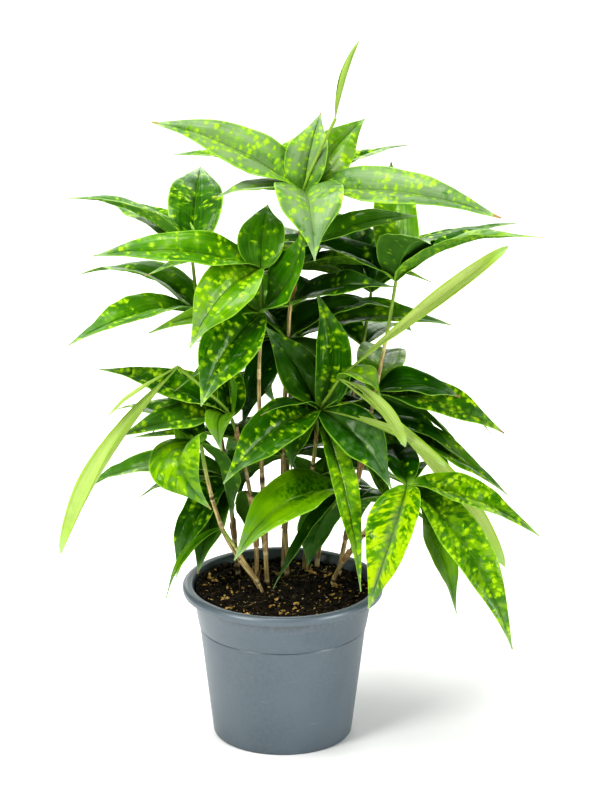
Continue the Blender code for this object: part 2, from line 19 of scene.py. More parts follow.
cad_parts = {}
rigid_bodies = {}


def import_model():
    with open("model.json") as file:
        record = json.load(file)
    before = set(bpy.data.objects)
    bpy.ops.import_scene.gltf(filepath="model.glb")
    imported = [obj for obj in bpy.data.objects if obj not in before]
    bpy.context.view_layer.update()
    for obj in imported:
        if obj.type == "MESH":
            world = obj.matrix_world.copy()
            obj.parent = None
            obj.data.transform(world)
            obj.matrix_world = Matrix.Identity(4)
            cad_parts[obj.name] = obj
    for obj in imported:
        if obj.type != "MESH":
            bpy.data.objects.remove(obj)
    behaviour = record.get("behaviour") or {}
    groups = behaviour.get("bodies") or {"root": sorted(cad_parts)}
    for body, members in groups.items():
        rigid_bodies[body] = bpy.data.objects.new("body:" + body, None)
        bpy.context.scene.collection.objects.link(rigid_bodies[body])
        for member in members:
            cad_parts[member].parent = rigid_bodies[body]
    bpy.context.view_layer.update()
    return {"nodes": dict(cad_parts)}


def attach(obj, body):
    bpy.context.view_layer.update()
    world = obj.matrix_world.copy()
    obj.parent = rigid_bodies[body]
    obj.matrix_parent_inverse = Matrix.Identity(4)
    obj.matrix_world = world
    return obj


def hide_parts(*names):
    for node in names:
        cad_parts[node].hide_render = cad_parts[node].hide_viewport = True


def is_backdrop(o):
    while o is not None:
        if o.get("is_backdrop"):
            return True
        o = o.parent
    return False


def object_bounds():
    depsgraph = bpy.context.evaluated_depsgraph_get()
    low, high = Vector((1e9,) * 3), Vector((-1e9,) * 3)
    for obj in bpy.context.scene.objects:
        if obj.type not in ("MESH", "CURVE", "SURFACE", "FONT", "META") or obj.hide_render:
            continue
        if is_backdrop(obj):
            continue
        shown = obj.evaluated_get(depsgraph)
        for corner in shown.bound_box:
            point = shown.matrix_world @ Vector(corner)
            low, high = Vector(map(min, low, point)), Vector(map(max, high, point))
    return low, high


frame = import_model()
MM = 0.001

# %% [markdown]
# ## Camera
# The camera looks down at the plant by about 19 degrees from 2.7 metres away through a long lens,
# so leaves near and far are drawn at nearly the same scale. It is placed by three unit vectors: to
# the right, up in the picture, and forward. The aim is then turned by less than a degree to bring
# this plant to the middle of the frame, which needs no lens shift.

# %% Place the camera
PITCH = radians(18.6)
TO_RIGHT = Vector((1, 0, 0))
TO_TOP = Vector((0, sin(PITCH), cos(PITCH)))
AHEAD = Vector((0, cos(PITCH), -sin(PITCH)))
RIM_CENTRE = Vector((0, 0, 0.095))
EYE_LEFT, EYE_UP, EYE_BACK = 0.0157, 0.1392, 2.7
AIM_RIGHT, AIM_DOWN = 0.0096, 0.0114
EYE = RIM_CENTRE - EYE_LEFT * TO_RIGHT + EYE_UP * TO_TOP - EYE_BACK * AHEAD
AIM = (AHEAD + AIM_RIGHT * TO_RIGHT - AIM_DOWN * TO_TOP).normalized()
LENS_MM = 203.6


def put_in_scene(name, data):
    thing = bpy.data.objects.new(name, data)
    bpy.context.scene.collection.objects.link(thing)
    return thing


camera = put_in_scene("camera", bpy.data.cameras.new("camera"))
camera.data.sensor_fit = "VERTICAL"
camera.data.sensor_height = 36
camera.data.lens = LENS_MM
frame_right = AIM.cross(TO_TOP).normalized()
frame_axes = Matrix((frame_right, frame_right.cross(AIM), -AIM)).transposed().to_4x4()
camera.matrix_world = Matrix.Translation(EYE) @ frame_axes
bpy.context.scene.camera = camera
print("camera at", tuple(round(value, 3) for value in EYE), "with a lens of", LENS_MM, "mm")

# %% [markdown]
# ## Floor and light
# The plant stands on a plain pale floor in soft studio light. Area lights are the studio's soft
# boxes. A wide one hangs overhead, one stands at each side of the camera, and a tall one behind
# the plant gives flat leaves a pale sheen, because at a low angle a leaf mirrors what is behind
# it. The leaf finish also has a pale sheen painted into its colour. The world adds a little light
# from everywhere, so that shadows aren't black.

# %% Floor, world and soft boxes
FLOOR_SIZE = 9.0
PLANT_HEART = Vector((0.0, 0.0, 0.22))
SOFT_BOXES = {  # place, width and height in metres, watts, tint
    "overhead": ((-0.35, 0.1, 1.8), 1.4, 1.1, 36, (1.0, 0.99, 0.96)),
    "left": ((-1.45, -1.35, 1.15), 0.7, 1.0, 25, (1.0, 0.995, 0.97)),
    "right": ((1.65, -1.05, 0.75), 0.7, 1.0, 20, (1.0, 1.0, 1.0)),
    "behind": ((0.2, 2.2, 0.9), 2.4, 1.3, 20, (1.0, 1.0, 1.0)),
}

bm = bmesh.new()
bmesh.ops.create_grid(bm, x_segments=1, y_segments=1, size=FLOOR_SIZE / 2)
floor = put_in_scene("floor", bpy.data.meshes.new("floor"))
bm.to_mesh(floor.data)
bm.free()
floor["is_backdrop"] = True

for name, (place, width, height, watts, tint) in SOFT_BOXES.items():
    lamp = put_in_scene(name, bpy.data.lights.new(name, "AREA"))
    lamp.data.shape = "RECTANGLE"
    lamp.data.size, lamp.data.size_y = width, height
    lamp.data.energy, lamp.data.color = watts, tint
    lamp.location = place
    lamp.rotation_euler = (PLANT_HEART - Vector(place)).to_track_quat("-Z", "Y").to_euler()
world = bpy.data.worlds.new("studio")
world.use_nodes = True
sky = world.node_tree.nodes["Background"].inputs
sky["Color"].default_value, sky["Strength"].default_value = (1.0, 1.0, 1.0, 1), 0.24
bpy.context.scene.world = world
bpy.context.scene.view_settings.view_transform = "Standard"
bpy.context.scene.view_settings.look = "High Contrast"
print("floor of", FLOOR_SIZE, "metres and", len(SOFT_BOXES), "soft boxes")

# %% [markdown]
# ## Helpers for materials
# A material is a net of nodes. To keep that net readable, an output of a node is held as a wire,
# and wires are added and multiplied like numbers: each sum adds the node that works it out, in the
# net that the wire belongs to.

# %% Wires, and sums with them


class Wire:
    """An output of a node that can be reckoned with like a number."""

    def __init__(self, socket):
        self.socket = socket

    def maths(self, operation, *others):
        """A sum of numbers, or of vectors where this wire carries a vector or a colour."""
        kind = "ShaderNodeMath" if self.socket.type == "VALUE" else "ShaderNodeVectorMath"
        return result_of(kind, self, *others, operation=operation)

    __add__ = partialmethod(maths, "ADD")
    __sub__ = partialmethod(maths, "SUBTRACT")
    __mul__ = partialmethod(maths, "MULTIPLY")
    __truediv__ = partialmethod(maths, "DIVIDE")
    __abs__ = partialmethod(maths, "ABSOLUTE")


def feed(socket, value):
    """Links a socket to a wire, or sets it to a plain value."""
    if isinstance(value, Wire):
        socket.id_data.links.new(value.socket, socket)
    else:
        socket.default_value = (*value, 1) if socket.type == "RGBA" else value


def add_node(kind, *values, **settings):
    """Adds a node to the net that its wires belong to, and feeds its inputs in order."""
    wire = next(value for value in values if isinstance(value, Wire))
    node = wire.socket.id_data.nodes.new(kind)
    for name, setting in settings.items():
        setattr(node, name, setting)
    for socket, value in zip([socket for socket in node.inputs if socket.enabled], values):
        feed(socket, value)
    return node


def result_of(kind, *values, out=0, **settings):
    node = add_node(kind, *values, **settings)
    return Wire([socket for socket in node.outputs if socket.enabled][out])


print("sums with wires are ready")

# %% [markdown]
# The other helpers each add one kind of node: a smooth step, noise, a blend of colours, and a ramp.
# A finish is a material with its shader, and its masks and colours are laid over each other in
# coats, as a painter would.

# %% Helpers for finishes


def fade(value, low, high, least=0.0, most=1.0):
    """Goes smoothly from least, where value is low, to most, where it is high."""
    values = value, low, high, least, most
    return result_of("ShaderNodeMapRange", *values, interpolation_type="SMOOTHSTEP")


def speckle(place, scale, detail=2.0, roughness=0.5, out=0):
    """Noise from 0 to 1 at a scale in cells per millimetre."""
    return result_of("ShaderNodeTexNoise", place, scale, detail, roughness, out=out)


def parts_of(vector):
    return [Wire(part) for part in add_node("ShaderNodeSeparateXYZ", vector).outputs]


def blended(share, first, second):
    return result_of("ShaderNodeMix", share, first, second, data_type="RGBA")


def painted(colour, *coats):
    """Lays coats over a colour: each is a share from 0 to 1 and the coat's own colour."""
    for share, coat in coats:
        colour = blended(share, colour, coat)
    return colour


def ramp(value, *stops):
    """A run of colours: each stop is a place from 0 to 1 and its colour."""
    node = add_node("ShaderNodeValToRGB", value)
    line = node.color_ramp.elements
    for number, (place, colour) in enumerate(stops):
        stop = line[number] if number < len(line) else line.new(place)
        stop.position, stop.color = place, (*colour, 1)
    return Wire(node.outputs[0])


def attribute(tree, name):
    """The three parts of a piece's own attribute, and the whole."""
    node = tree.nodes.new("ShaderNodeAttribute")
    node.attribute_name = name
    whole = Wire(node.outputs["Vector"])
    return (*parts_of(whole), whole)


def set_sockets(shader, **values):
    for name, value in values.items():
        feed(shader.inputs[name.replace("_", " ")], value)


def new_finish(name, **values):
    """A material with its tree, its shader, and plain values on the shader's own sockets."""
    finish = bpy.data.materials.new(name)
    finish.use_nodes = True
    shader = finish.node_tree.nodes["Principled BSDF"]
    set_sockets(shader, **values)
    return finish, finish.node_tree, shader


def bump(shader, height, depth_mm, strength=1.0):
    node = shader.id_data.nodes.new("ShaderNodeBump")
    set_sockets(node, Strength=strength, Distance=depth_mm * MM, Height=height)
    feed(shader.inputs["Normal"], Wire(node.outputs[0]))


print("helpers for finishes are ready")

# %% [markdown]
# ## Effects that several finishes share
# An effect that more than one finish uses is a node group. The gold dust itself is a set of small
# yellow spots, each drawn out across the blade, with a soft lime rim. A Voronoi texture gives one
# point per cell, and the distance to it makes a spot. It is read in three dimensions at a depth of
# its own for each leaf, so that a leaf cuts some cells through the middle and others near the edge,
# and the spots differ in size as real ones do.

# %% Node group: gold dust


def new_group(name, takes, gives, work_out):
    """A node group. work_out gets a wire for each input, and returns one for each output."""
    group = bpy.data.node_groups.new(name, "ShaderNodeTree")
    for label in takes:
        kind = "NodeSocketVector" if label == "Place" else "NodeSocketFloat"
        group.interface.new_socket(name=label, in_out="INPUT", socket_type=kind)
    for label in gives:
        group.interface.new_socket(name=label, in_out="OUTPUT", socket_type="NodeSocketFloat")
    taken = group.nodes.new("NodeGroupInput").outputs[:len(takes)]
    results = work_out(*(Wire(socket) for socket in taken))
    for socket, result in zip(group.nodes.new("NodeGroupOutput").inputs, results):
        feed(socket, result)
    print("group of nodes:", name, "gives", ", ".join(gives))
    return group


def use_group(group, *values):
    """Places a group in the net of its values, and gives a wire for each of its outputs."""
    node = add_node("ShaderNodeGroup", *values, node_tree=group)
    return [Wire(socket) for socket in node.outputs]


SPOT_ACROSS_MM, SPOT_ALONG_MM = 4.5, 3.25


def spots_of_dust(place, amount):
    shift = (speckle(place, 0.4, 1.0, out=1) - (0.5, 0.5, 0.5)) * (4, 3, 0)
    cells = (place + shift) * (1 / SPOT_ACROSS_MM, 1 / SPOT_ALONG_MM, 1)
    voronoi = add_node("ShaderNodeTexVoronoi", cells, 1.0).outputs
    chance, growth, _ = parts_of(Wire(voronoi["Color"]))
    crowd = fade(speckle(place, 0.055, 1.0), 0.35, 0.62, 0.35, 1.5)
    kept = chance.maths("LESS_THAN", amount * crowd)
    reach = (amount * 0.30 + 0.32) * (growth * 0.7 + 0.55)
    nearness = Wire(voronoi["Distance"]) / reach
    core = kept * fade(nearness, 0.40, 1.0, 1.0, 0.0)
    return core, kept * fade(nearness, 0.6, 1.9, 1.0, 0.0)


gold_dust = new_group("gold dust", ("Place", "Amount"), ("Core", "Rim"), spots_of_dust)

# %% [markdown]
# The veins of this plant run side by side from the foot of the blade to its tip, and close up
# towards both ends as the blade narrows. So they follow the share across the blade, not the
# millimetres: noise that is squeezed across and drawn out along the blade gives fine fibres and
# broader ridges that are never quite regular. The midrib is a narrow groove in the middle, and a
# thin pale line runs along each margin.

# %% Node group: fibres, ridges, midrib and margin
FIBRES_PER_HALF, RIDGES_PER_HALF = 15, 6


def vector_of(*parts):
    return result_of("ShaderNodeCombineXYZ", *parts)


def lines_of_blade(across, along, place):
    depth = parts_of(place)[2]

    def drawn_out(across_count, along_count):
        """Noise in a leaf's own shares: so many cells across each half, so many along."""
        cells = vector_of(across * across_count, along * along_count, depth)
        return fade(speckle(cells, 1.0, 1.5), 0.3, 0.7)

    midrib = fade(abs(across), 0.0, 0.055, 1.0, 0.0)
    margin = fade(abs(across), 0.93, 0.985)
    return drawn_out(FIBRES_PER_HALF, 1.6), drawn_out(RIDGES_PER_HALF, 0.7), midrib, margin


LINES = ("Fibre", "Ridge", "Midrib", "Margin")
blade_lines = new_group("blade lines", ("Across", "Along", "Place"), LINES, lines_of_blade)

# %% [markdown]
# ## Leaf finish
# The upper face of a leaf goes from deep green to lime with its age and from leaf to leaf. Light
# also comes through it, so a share of a translucent shader is mixed in. Each vertex of a leaf
# carries four attributes. "place" is the millimetres across and along the blade and a depth of
# the leaf's own. "shape" is the share across, the share along and how dry the tip is. "look" is how
# young, how spotted and how bright the leaf is. "habit" is how mottled, how much painted sheen and
# how netted. The painted sheen is a pale reflection of the studio laid into the colour.

# %% Leaf colours
LEAF_GREENS = (
    (0.0, (0.004, 0.030, 0.0003)), (0.3, (0.020, 0.108, 0.0004)),
    (0.6, (0.070, 0.220, 0.0006)), (1.0, (0.215, 0.410, 0.002)),
)
YOUNG_CREAM, YOUNG_LIME = (0.565, 0.670, 0.240), (0.405, 0.610, 0.010)
# Painted sheen: a pale grey-green with darker lines, and a cool green, laid into the leaf colour to
# stand in for studio light mirrored by the waxy leaves
PAINTED_SHEEN_SAGE, PAINTED_SHEEN_LINES = (0.252, 0.336, 0.195), (0.140, 0.235, 0.085)
PAINTED_SHEEN_COOL = (0.160, 0.260, 0.140)
NET_LIME, STROKE_YELLOW = (0.350, 0.560, 0.004), (0.480, 0.650, 0.003)
SPOT_LIME, SPOT_YELLOW = (0.225, 0.450, 0.004), (0.445, 0.640, 0.018)
LINE_PALE, TIP_PALE = (0.370, 0.620, 0.090), (0.500, 0.680, 0.360)
DRY_TAN, UNDER_PALE = (0.420, 0.270, 0.110), (0.150, 0.300, 0.075)
GLOW_GREEN = (0.300, 0.620, 0.010)


def leaf_colours(tree):
    """The leaf's colour with its spots, lines and painted sheen, and the masks that its roughness and
    bump use.
    """
    across, along, dryness, _ = attribute(tree, "shape")
    youth, spots, brightness, _ = attribute(tree, "look")
    mottle, sheen, netting, _ = attribute(tree, "habit")
    px, py, depth, place = attribute(tree, "place")
    clouds, patches = speckle(place, 0.06), speckle(place, 0.25)
    fibre, ridge, midrib, margin = use_group(blade_lines, across, along, place)
    core, rim = use_group(gold_dust, place, spots)
    aside = abs(across)

    blots = fade(speckle(place, 0.38, 3.0, 0.6), 0.40, 0.64) * mottle
    darker = blots * fade(aside, 0.85, 0.25, 0.25, 1.0) * fade(along, 0.65, 0.35)
    tone = brightness + (clouds * 0.7 - 0.35) + (fibre * 0.15 - 0.075)

    # Painted sheen: where a pale reflection of the studio covers the blade, how strong it is and its
    # colour, and a painted cool sheen near the tip
    reached = patches * 0.45 + clouds * 0.55 + (sheen * 0.35 - 0.17)
    painted_sheen_cover = fade(reached, 0.42, 0.60) * (sheen * 0.55 + 0.35)
    painted_sheen_cover = painted_sheen_cover * fade(aside, 0.98, 0.70, 0.55, 1.0)
    sage_painted_sheen = blended(ridge * 0.6, PAINTED_SHEEN_SAGE, PAINTED_SHEEN_LINES)
    painted_sheen_colour = blended(fade(brightness, 0.42, 0.58), PAINTED_SHEEN_COOL, sage_painted_sheen)
    painted_tip_sheen = fade(along, 0.62, 0.95) * fade(patches, 0.35, 0.6, 0.2, 0.75)

    # Netted leaves: lime patches that leave the midrib and run outward, not alike on the two halves
    slant = (py - abs(px) * 0.7) * 0.20
    streaks = speckle(vector_of(px * 0.09, slant, px.maths("SIGN") * 3.3 + depth), 1.0, 2.5, 0.6)
    net = fade(streaks, 0.46, 0.58) * netting
    stroke = blended(fade(netting, 0.6, 0.8), NET_LIME, STROKE_YELLOW)
    # Painted sheen along the midrib trough of netted leaves, standing in for reflected light
    painted_trough_sheen = fade(aside, 0.42, 0.05) * fade(netting, 0.6, 0.8, 0.0, 0.55)

    clear = midrib * -0.8 + 1.0
    dry = fade(along + patches * 0.04, 0.975, 0.995)
    colour = painted(
        ramp(tone - darker, *LEAF_GREENS),
        (youth * (ridge * 0.25 + 0.85), YOUNG_CREAM),
        (youth * fade(aside.maths("MAXIMUM", along), 0.82, 0.97, 0.0, 0.8), YOUNG_LIME),
        # the next two coats are painted sheen: the pale reflection, and a cool one near the tip
        (painted_sheen_cover * fade(along, 0.0, 0.45, 0.2, 1.0), painted_sheen_colour),
        (painted_tip_sheen * (youth * -1.0 + 1.0), PAINTED_SHEEN_COOL),
        (net * fade(aside, 0.0, 0.3, 0.25, 1.0), stroke),
        # painted sheen in the midrib trough
        (painted_trough_sheen * fade(along, 0.08, 0.3), PAINTED_SHEEN_SAGE),
        (rim * clear * 0.5, SPOT_LIME),
        # the yellow spots are painted fainter where a painted sheen lies over them
        (core * clear * (sheen * -0.40 + 1.0) * 0.9, SPOT_YELLOW),
        (midrib * (mottle * 0.9 + 0.25), LINE_PALE),
        (margin * 0.55, LINE_PALE),
        (fade(along, 0.88, 1.0) * 0.6, TIP_PALE),
        (fade(along, 0.12, 0.0, 0.0, 0.5), LINE_PALE),
        (dry * dryness, DRY_TAN),
    )
    return colour, fibre, ridge, midrib, patches, youth


def through_light(shader, colour, share=0.2):
    """Mixes a translucent shader into a leaf's own, so that light from behind shows through."""
    glow = result_of("ShaderNodeBsdfTranslucent", blended(0.4, colour, GLOW_GREEN))
    both = result_of("ShaderNodeMixShader", share, Wire(shader.outputs[0]), glow)
    feed(shader.id_data.nodes["Material Output"].inputs["Surface"], both)


print("leaf colours:", len(LEAF_GREENS), "greens in the ramp")

# %% [markdown]
# The upper face is waxy: a clear coat gives small bright highlights over a softer gloss. The lower
# face is duller and paler, and its midrib stands out where the upper one has a groove.

# %% Upper and lower leaf faces, and young leaves
WAX_TINT = (0.80, 1.00, 0.45)
leaf_upper, tree, shader = new_finish(
    "leaf_upper", Coat_Roughness=0.13, Specular_IOR_Level=0.14, Specular_Tint=WAX_TINT
)
colour, fibre, ridge, midrib, patches, youth = leaf_colours(tree)
gloss = fade(patches, 0.2, 0.8, 0.30, 0.44)
wax = fade(ridge * 0.5 + patches * 0.7, 0.50, 0.75, 0.02, 0.38)
set_sockets(shader, Base_Color=colour, Roughness=gloss, Coat_Weight=wax)
relief = ridge * (youth * 0.8 + 0.35) + patches * 0.6 + fibre * 0.12
bump(shader, relief - midrib * 0.6, 0.42, 0.8)
through_light(shader, colour)

leaf_under, tree, shader = new_finish(
    "leaf_under", Specular_IOR_Level=0.12, Specular_Tint=WAX_TINT
)
colour, fibre, ridge, midrib, patches, youth = leaf_colours(tree)
pale = blended(youth * -0.35 + 0.35, colour, UNDER_PALE)
set_sockets(shader, Base_Color=pale, Roughness=fade(patches, 0.2, 0.8, 0.58, 0.75))
bump(shader, ridge * 0.4 + midrib, 0.3, 0.6)
through_light(shader, colour)

young_leaf, tree, shader = new_finish("young_leaf", Specular_IOR_Level=0.3)
colour, fibre, ridge, midrib, patches, youth = leaf_colours(tree)
set_sockets(shader, Base_Color=colour, Roughness=fade(patches, 0.2, 0.8, 0.36, 0.5))
bump(shader, ridge + fibre * 0.2, 0.35, 0.6)
through_light(shader, colour, 0.25)
print("leaf finishes:", leaf_upper.name, leaf_under.name, "and", young_leaf.name)

# %% [markdown]
# ## Canes and dry sheaths
# Low down a cane is brown and fibrous with pale rings, and towards the young leaves it turns green.
# The dry sheaths are what is left of old leaf feet: thin, tan and split like paper. For both, the
# "place" attribute is the cane as if it were straight, so the grain follows every bend.

# %% Cane and sheath finishes
CANE_BROWN, CANE_STRAW = (0.165, 0.112, 0.038), (0.660, 0.530, 0.260)
CANE_GREEN, CANE_GREEN_PALE = (0.130, 0.250, 0.014), (0.340, 0.470, 0.080)
RING_BROWN, RING_PALE = (0.030, 0.018, 0.008), (0.700, 0.600, 0.380)
SHEATH_TAN, SHEATH_BROWN = (0.500, 0.350, 0.170), (0.190, 0.110, 0.045)
SHEATH_PALE = (0.620, 0.480, 0.280)


def grain(place, fineness):
    """Noise drawn out along the cane, which looks like fibres."""
    return speckle(place * (fineness, fineness, 0.08), 1.0, 3.0, 0.6)


cane_bark, tree, shader = new_finish("cane_bark")
greenness, ring = attribute(tree, "look")[0], attribute(tree, "shape")[2]
place = attribute(tree, "place")[3]
fibre, blotch = grain(place, 2.2), speckle(place, 0.12)
skin = painted(
    CANE_BROWN,
    (fade(fibre, 0.38, 0.58), CANE_STRAW),
    (fade(blotch, 0.5, 0.7, 0.0, 0.45), CANE_BROWN),
    (fade(ring, 0.01, 0.12) * fade(ring, 0.55, 0.25) * 0.6, RING_PALE),
    (fade(ring, 0.4, 0.8, 0.0, 0.85), RING_BROWN),
    (
        fade(greenness + (blotch * 0.8 - 0.35), 0.12, 0.6),
        blended(fibre, CANE_GREEN, CANE_GREEN_PALE),
    ),
)
set_sockets(shader, Base_Color=skin, Roughness=fade(greenness, 0.3, 0.8, 0.68, 0.42))
bump(shader, fibre + ring * -0.6, 0.35)

dry_sheath, tree, shader = new_finish("dry_sheath", Roughness=0.75)
place = attribute(tree, "place")[3]
fibre, blotch = grain(place, 3.0), speckle(place, 0.25)
paper = painted(
    SHEATH_BROWN,
    (fade(fibre, 0.3, 0.7), SHEATH_TAN),
    (fade(blotch, 0.5, 0.75), SHEATH_PALE),
)
set_sockets(shader, Base_Color=paper)
bump(shader, fibre, 0.3)
print("cane finishes:", cane_bark.name, "and", dry_sheath.name)

# %% [markdown]
# ## Pot plastic
# The pot is moulded from recycled grey plastic with a satin skin. It has faint rings from the
# mould, fine scuffs, and crumbs of dust under the lip. A soft noise changes the gloss from place to
# place, which is what makes plastic look handled.

# %% Group for an uneven surface, and the pot's finish
POT_GREY, POT_LIGHT = (0.072, 0.096, 0.115), (0.105, 0.135, 0.158)
POT_SCUFF, POT_DUST = (0.300, 0.340, 0.380), (0.200, 0.190, 0.165)
MOULD_RINGS_PER_METRE = 700


def unevenness(place, scale):
    scaled = place * scale
    streaks = speckle(scaled * (3.0, 3.0, 26.0), 1.0, 4.0, 0.7)
    fine = speckle(scaled, 18.0, 3.0, 0.65)
    return speckle(scaled, 1.0, 3.0), fine, fade(streaks, 0.60, 0.78)


uneven = new_group("uneven skin", ("Place", "Scale"), ("Broad", "Fine", "Scuff"), unevenness)


def object_place(tree):
    return Wire(tree.nodes.new("ShaderNodeTexCoord").outputs["Object"])


pot_plastic, tree, shader = new_finish("pot_satin_plastic", Specular_IOR_Level=0.75)
place = object_place(tree)
broad, fine, scuff = use_group(uneven, place, 22.0)
height = parts_of(place)[2]
under_lip = fade(height, 0.080, 0.0885) * fade(height, 0.0915, 0.0890)
skin = painted(
    POT_GREY,
    (fade(broad, 0.1, 0.9), POT_LIGHT),
    (fade(fine, 0.35, 0.65, 0.0, 0.5), POT_LIGHT),
    (scuff * 0.22, POT_SCUFF),
    (under_lip * fade(fine, 0.45, 0.65) * 0.35, POT_DUST),
)
set_sockets(shader, Base_Color=skin, Roughness=fine * 0.16 + 0.30 + scuff * 0.18)
mould_rings = (height * (tau * MOULD_RINGS_PER_METRE)).maths("SINE")
bump(shader, fine + mould_rings * 0.08, 0.08, 0.5)
print("pot finish:", pot_plastic.name)

# %% [markdown]
# ## Soil finishes
# Potting soil is dark peat with lighter fibres, bits of bark and a few pale grains. The bed itself
# is dark and rough. What lies on it are separate little pieces in finishes of their own.

# %% Soil, crumbs, bark and fibres


def soil_finish(name, dark, light, roughness, scale):
    finish, tree, shader = new_finish(name)
    broad, fine, _ = use_group(uneven, object_place(tree), scale)
    colour = blended(fade(broad, 0.35, 0.7), dark, light)
    matt = fade(fine, 0.2, 0.8, roughness - 0.12, roughness)
    set_sockets(shader, Base_Color=colour, Roughness=matt)
    bump(shader, broad + fine * 0.4, 0.6)
    return finish


peat, crumb_peat, bark_bits, pale_grains, root_fibre = (
    soil_finish(*row)
    for row in (
        ("peat", (0.004, 0.0026, 0.0009), (0.024, 0.0155, 0.006), 1.0, 220.0),
        ("crumb_peat", (0.007, 0.0045, 0.0015), (0.045, 0.030, 0.011), 1.0, 320.0),
        ("bark_bits", (0.300, 0.180, 0.045), (0.760, 0.540, 0.190), 0.8, 400.0),
        ("pale_grains", (0.480, 0.400, 0.260), (0.780, 0.700, 0.520), 0.6, 500.0),
        ("root_fibre", (0.120, 0.085, 0.028), (0.420, 0.310, 0.130), 0.85, 300.0),
    )
)
print("soil finishes:", peat.name, "and four for what lies on it")

# %% [markdown]
# ## The pot
# A round pot is a profile turned about its axis, so it is made like on a lathe: a chain of points
# from the middle of the base up the outside, over the lip and down the inside, spun once round.
# The sharp rings are then rounded with a bevel, because moulded plastic has no knife edges and the
# small rounds catch the light. The drain holes are cut last with a boolean.

# %% Spin the pot
POT_SPIN_STEPS = 144
RIM_RADIUS, POT_HEIGHT, LIP_DEPTH, LIP_OVERHANG = 60.0, 95.0, 5.5, 6.2
GROOVE_HEIGHT, GROOVE_RADIUS, GROOVE_DEPTH = 69.0, 50.2, 0.5
BASE_RADIUS, WALL, FLOOR_TOP = 41.5, 1.3, 4.0
CHANNEL_HEIGHT, CHANNEL_INNER, CHANNEL_OUTER = 2.4, 15.0, 36.5
DRAIN_HOLES, DRAIN_RADIUS, DRAIN_CIRCLE = 8, 3.6, 26.0
RING_ROUND, SHARP_RING, POT_SHARP_ANGLE = 0.3 * MM, radians(24), 40
UNDER_LIP = POT_HEIGHT - LIP_DEPTH
NECK = RIM_RADIUS - LIP_OVERHANG

POT_INSIDE = [
    (NECK - WALL, UNDER_LIP), (GROOVE_RADIUS - WALL, GROOVE_HEIGHT),
    (BASE_RADIUS - WALL + 0.3, FLOOR_TOP),
]
POT_PROFILE = [
    (0.0, 0.0), (CHANNEL_INNER - CHANNEL_HEIGHT, 0.0), (CHANNEL_INNER, CHANNEL_HEIGHT),
    (CHANNEL_OUTER, CHANNEL_HEIGHT), (CHANNEL_OUTER + 0.6 * CHANNEL_HEIGHT, 0.0),
    (BASE_RADIUS - 1.0, 0.0), (BASE_RADIUS, 1.4),
    (GROOVE_RADIUS - GROOVE_DEPTH - 0.05, GROOVE_HEIGHT - 1.0),
    (GROOVE_RADIUS - 2 * GROOVE_DEPTH, GROOVE_HEIGHT - 0.5), (GROOVE_RADIUS, GROOVE_HEIGHT),
    (NECK - 0.1, UNDER_LIP - 0.6), (NECK, UNDER_LIP + 1.0),
    (RIM_RADIUS - 2.2, UNDER_LIP + 1.0), (RIM_RADIUS - 1.8, UNDER_LIP),
    (RIM_RADIUS - 0.3, UNDER_LIP + 0.4), (RIM_RADIUS, POT_HEIGHT - 2.2),
    (RIM_RADIUS - 0.7, POT_HEIGHT - 0.7), (RIM_RADIUS - 2.4, POT_HEIGHT),
    (NECK + 0.8, POT_HEIGHT - 0.5), (NECK - WALL + 0.6, POT_HEIGHT - 2.6),
    *POT_INSIDE, (0.0, FLOOR_TOP),
]


def spun_body(profile, steps):
    """Turns a profile in millimetres about the Z axis into a closed body with outward faces."""
    bm = bmesh.new()
    verts = [bm.verts.new((radius * MM, 0, height * MM)) for radius, height in profile]
    edges = [bm.edges.new(pair) for pair in zip(verts, verts[1:])]
    bmesh.ops.spin(
        bm, geom=verts + edges, cent=(0, 0, 0), axis=(0, 0, 1), angle=tau, steps=steps,
        use_merge=True,
    )
    bmesh.ops.remove_doubles(bm, verts=bm.verts, dist=0.01 * MM)
    bmesh.ops.recalc_face_normals(bm, faces=bm.faces)
    if bm.calc_volume(signed=True) < 0:
        bmesh.ops.reverse_faces(bm, faces=bm.faces)
    return bm


def shade(mesh, sharp_angle):
    """Smooth shading, but for edges sharper than an angle in degrees."""
    mesh.shade_smooth()
    mesh.set_sharp_from_angle(angle=radians(sharp_angle))


def finish_piece(bm, name, sharp_angle, *finishes):
    """Makes a piece of a bmesh, with its finishes."""
    mesh = bpy.data.meshes.new(name)
    bm.to_mesh(mesh)
    bm.free()
    shade(mesh, sharp_angle)
    for finish in finishes:
        mesh.materials.append(finish)
    return put_in_scene(name, mesh)


def sharp_ring(edge):
    """Whether an edge lies on a ring of the profile that a hand would feel as sharp."""
    start, end = (vert.co for vert in edge.verts)
    level = abs(start.z - end.z) < 0.001 * MM and start.to_2d().length > 10 * MM
    return level and len(edge.link_faces) == 2 and edge.calc_face_angle() > SHARP_RING


bm = spun_body(POT_PROFILE, POT_SPIN_STEPS)
rings = [edge for edge in bm.edges if sharp_ring(edge)]
bmesh.ops.bevel(
    bm, geom=rings, offset=RING_ROUND, offset_type="OFFSET", segments=2, profile=0.5,
    affect="EDGES", material=-1,
)
nursery_pot = finish_piece(bm, "nursery_pot", POT_SHARP_ANGLE, pot_plastic)
print("pot with", len(rings) // POT_SPIN_STEPS, "rounded rings")

# %% [markdown]
# The eight drain holes lie on a circle in the base. A cutter is a short cylinder, and the boolean
# modifier takes all of them away at once. Its result is kept as the pot's mesh, so that nothing
# live is left on the piece.

# %% Cut the drain holes


def hand_over(piece, node=None):
    """Lets a finished piece ride with the body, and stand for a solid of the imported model."""
    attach(piece, "root")
    if node:
        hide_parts(node)
    print(piece.name, "has", len(piece.data.polygons), "faces")


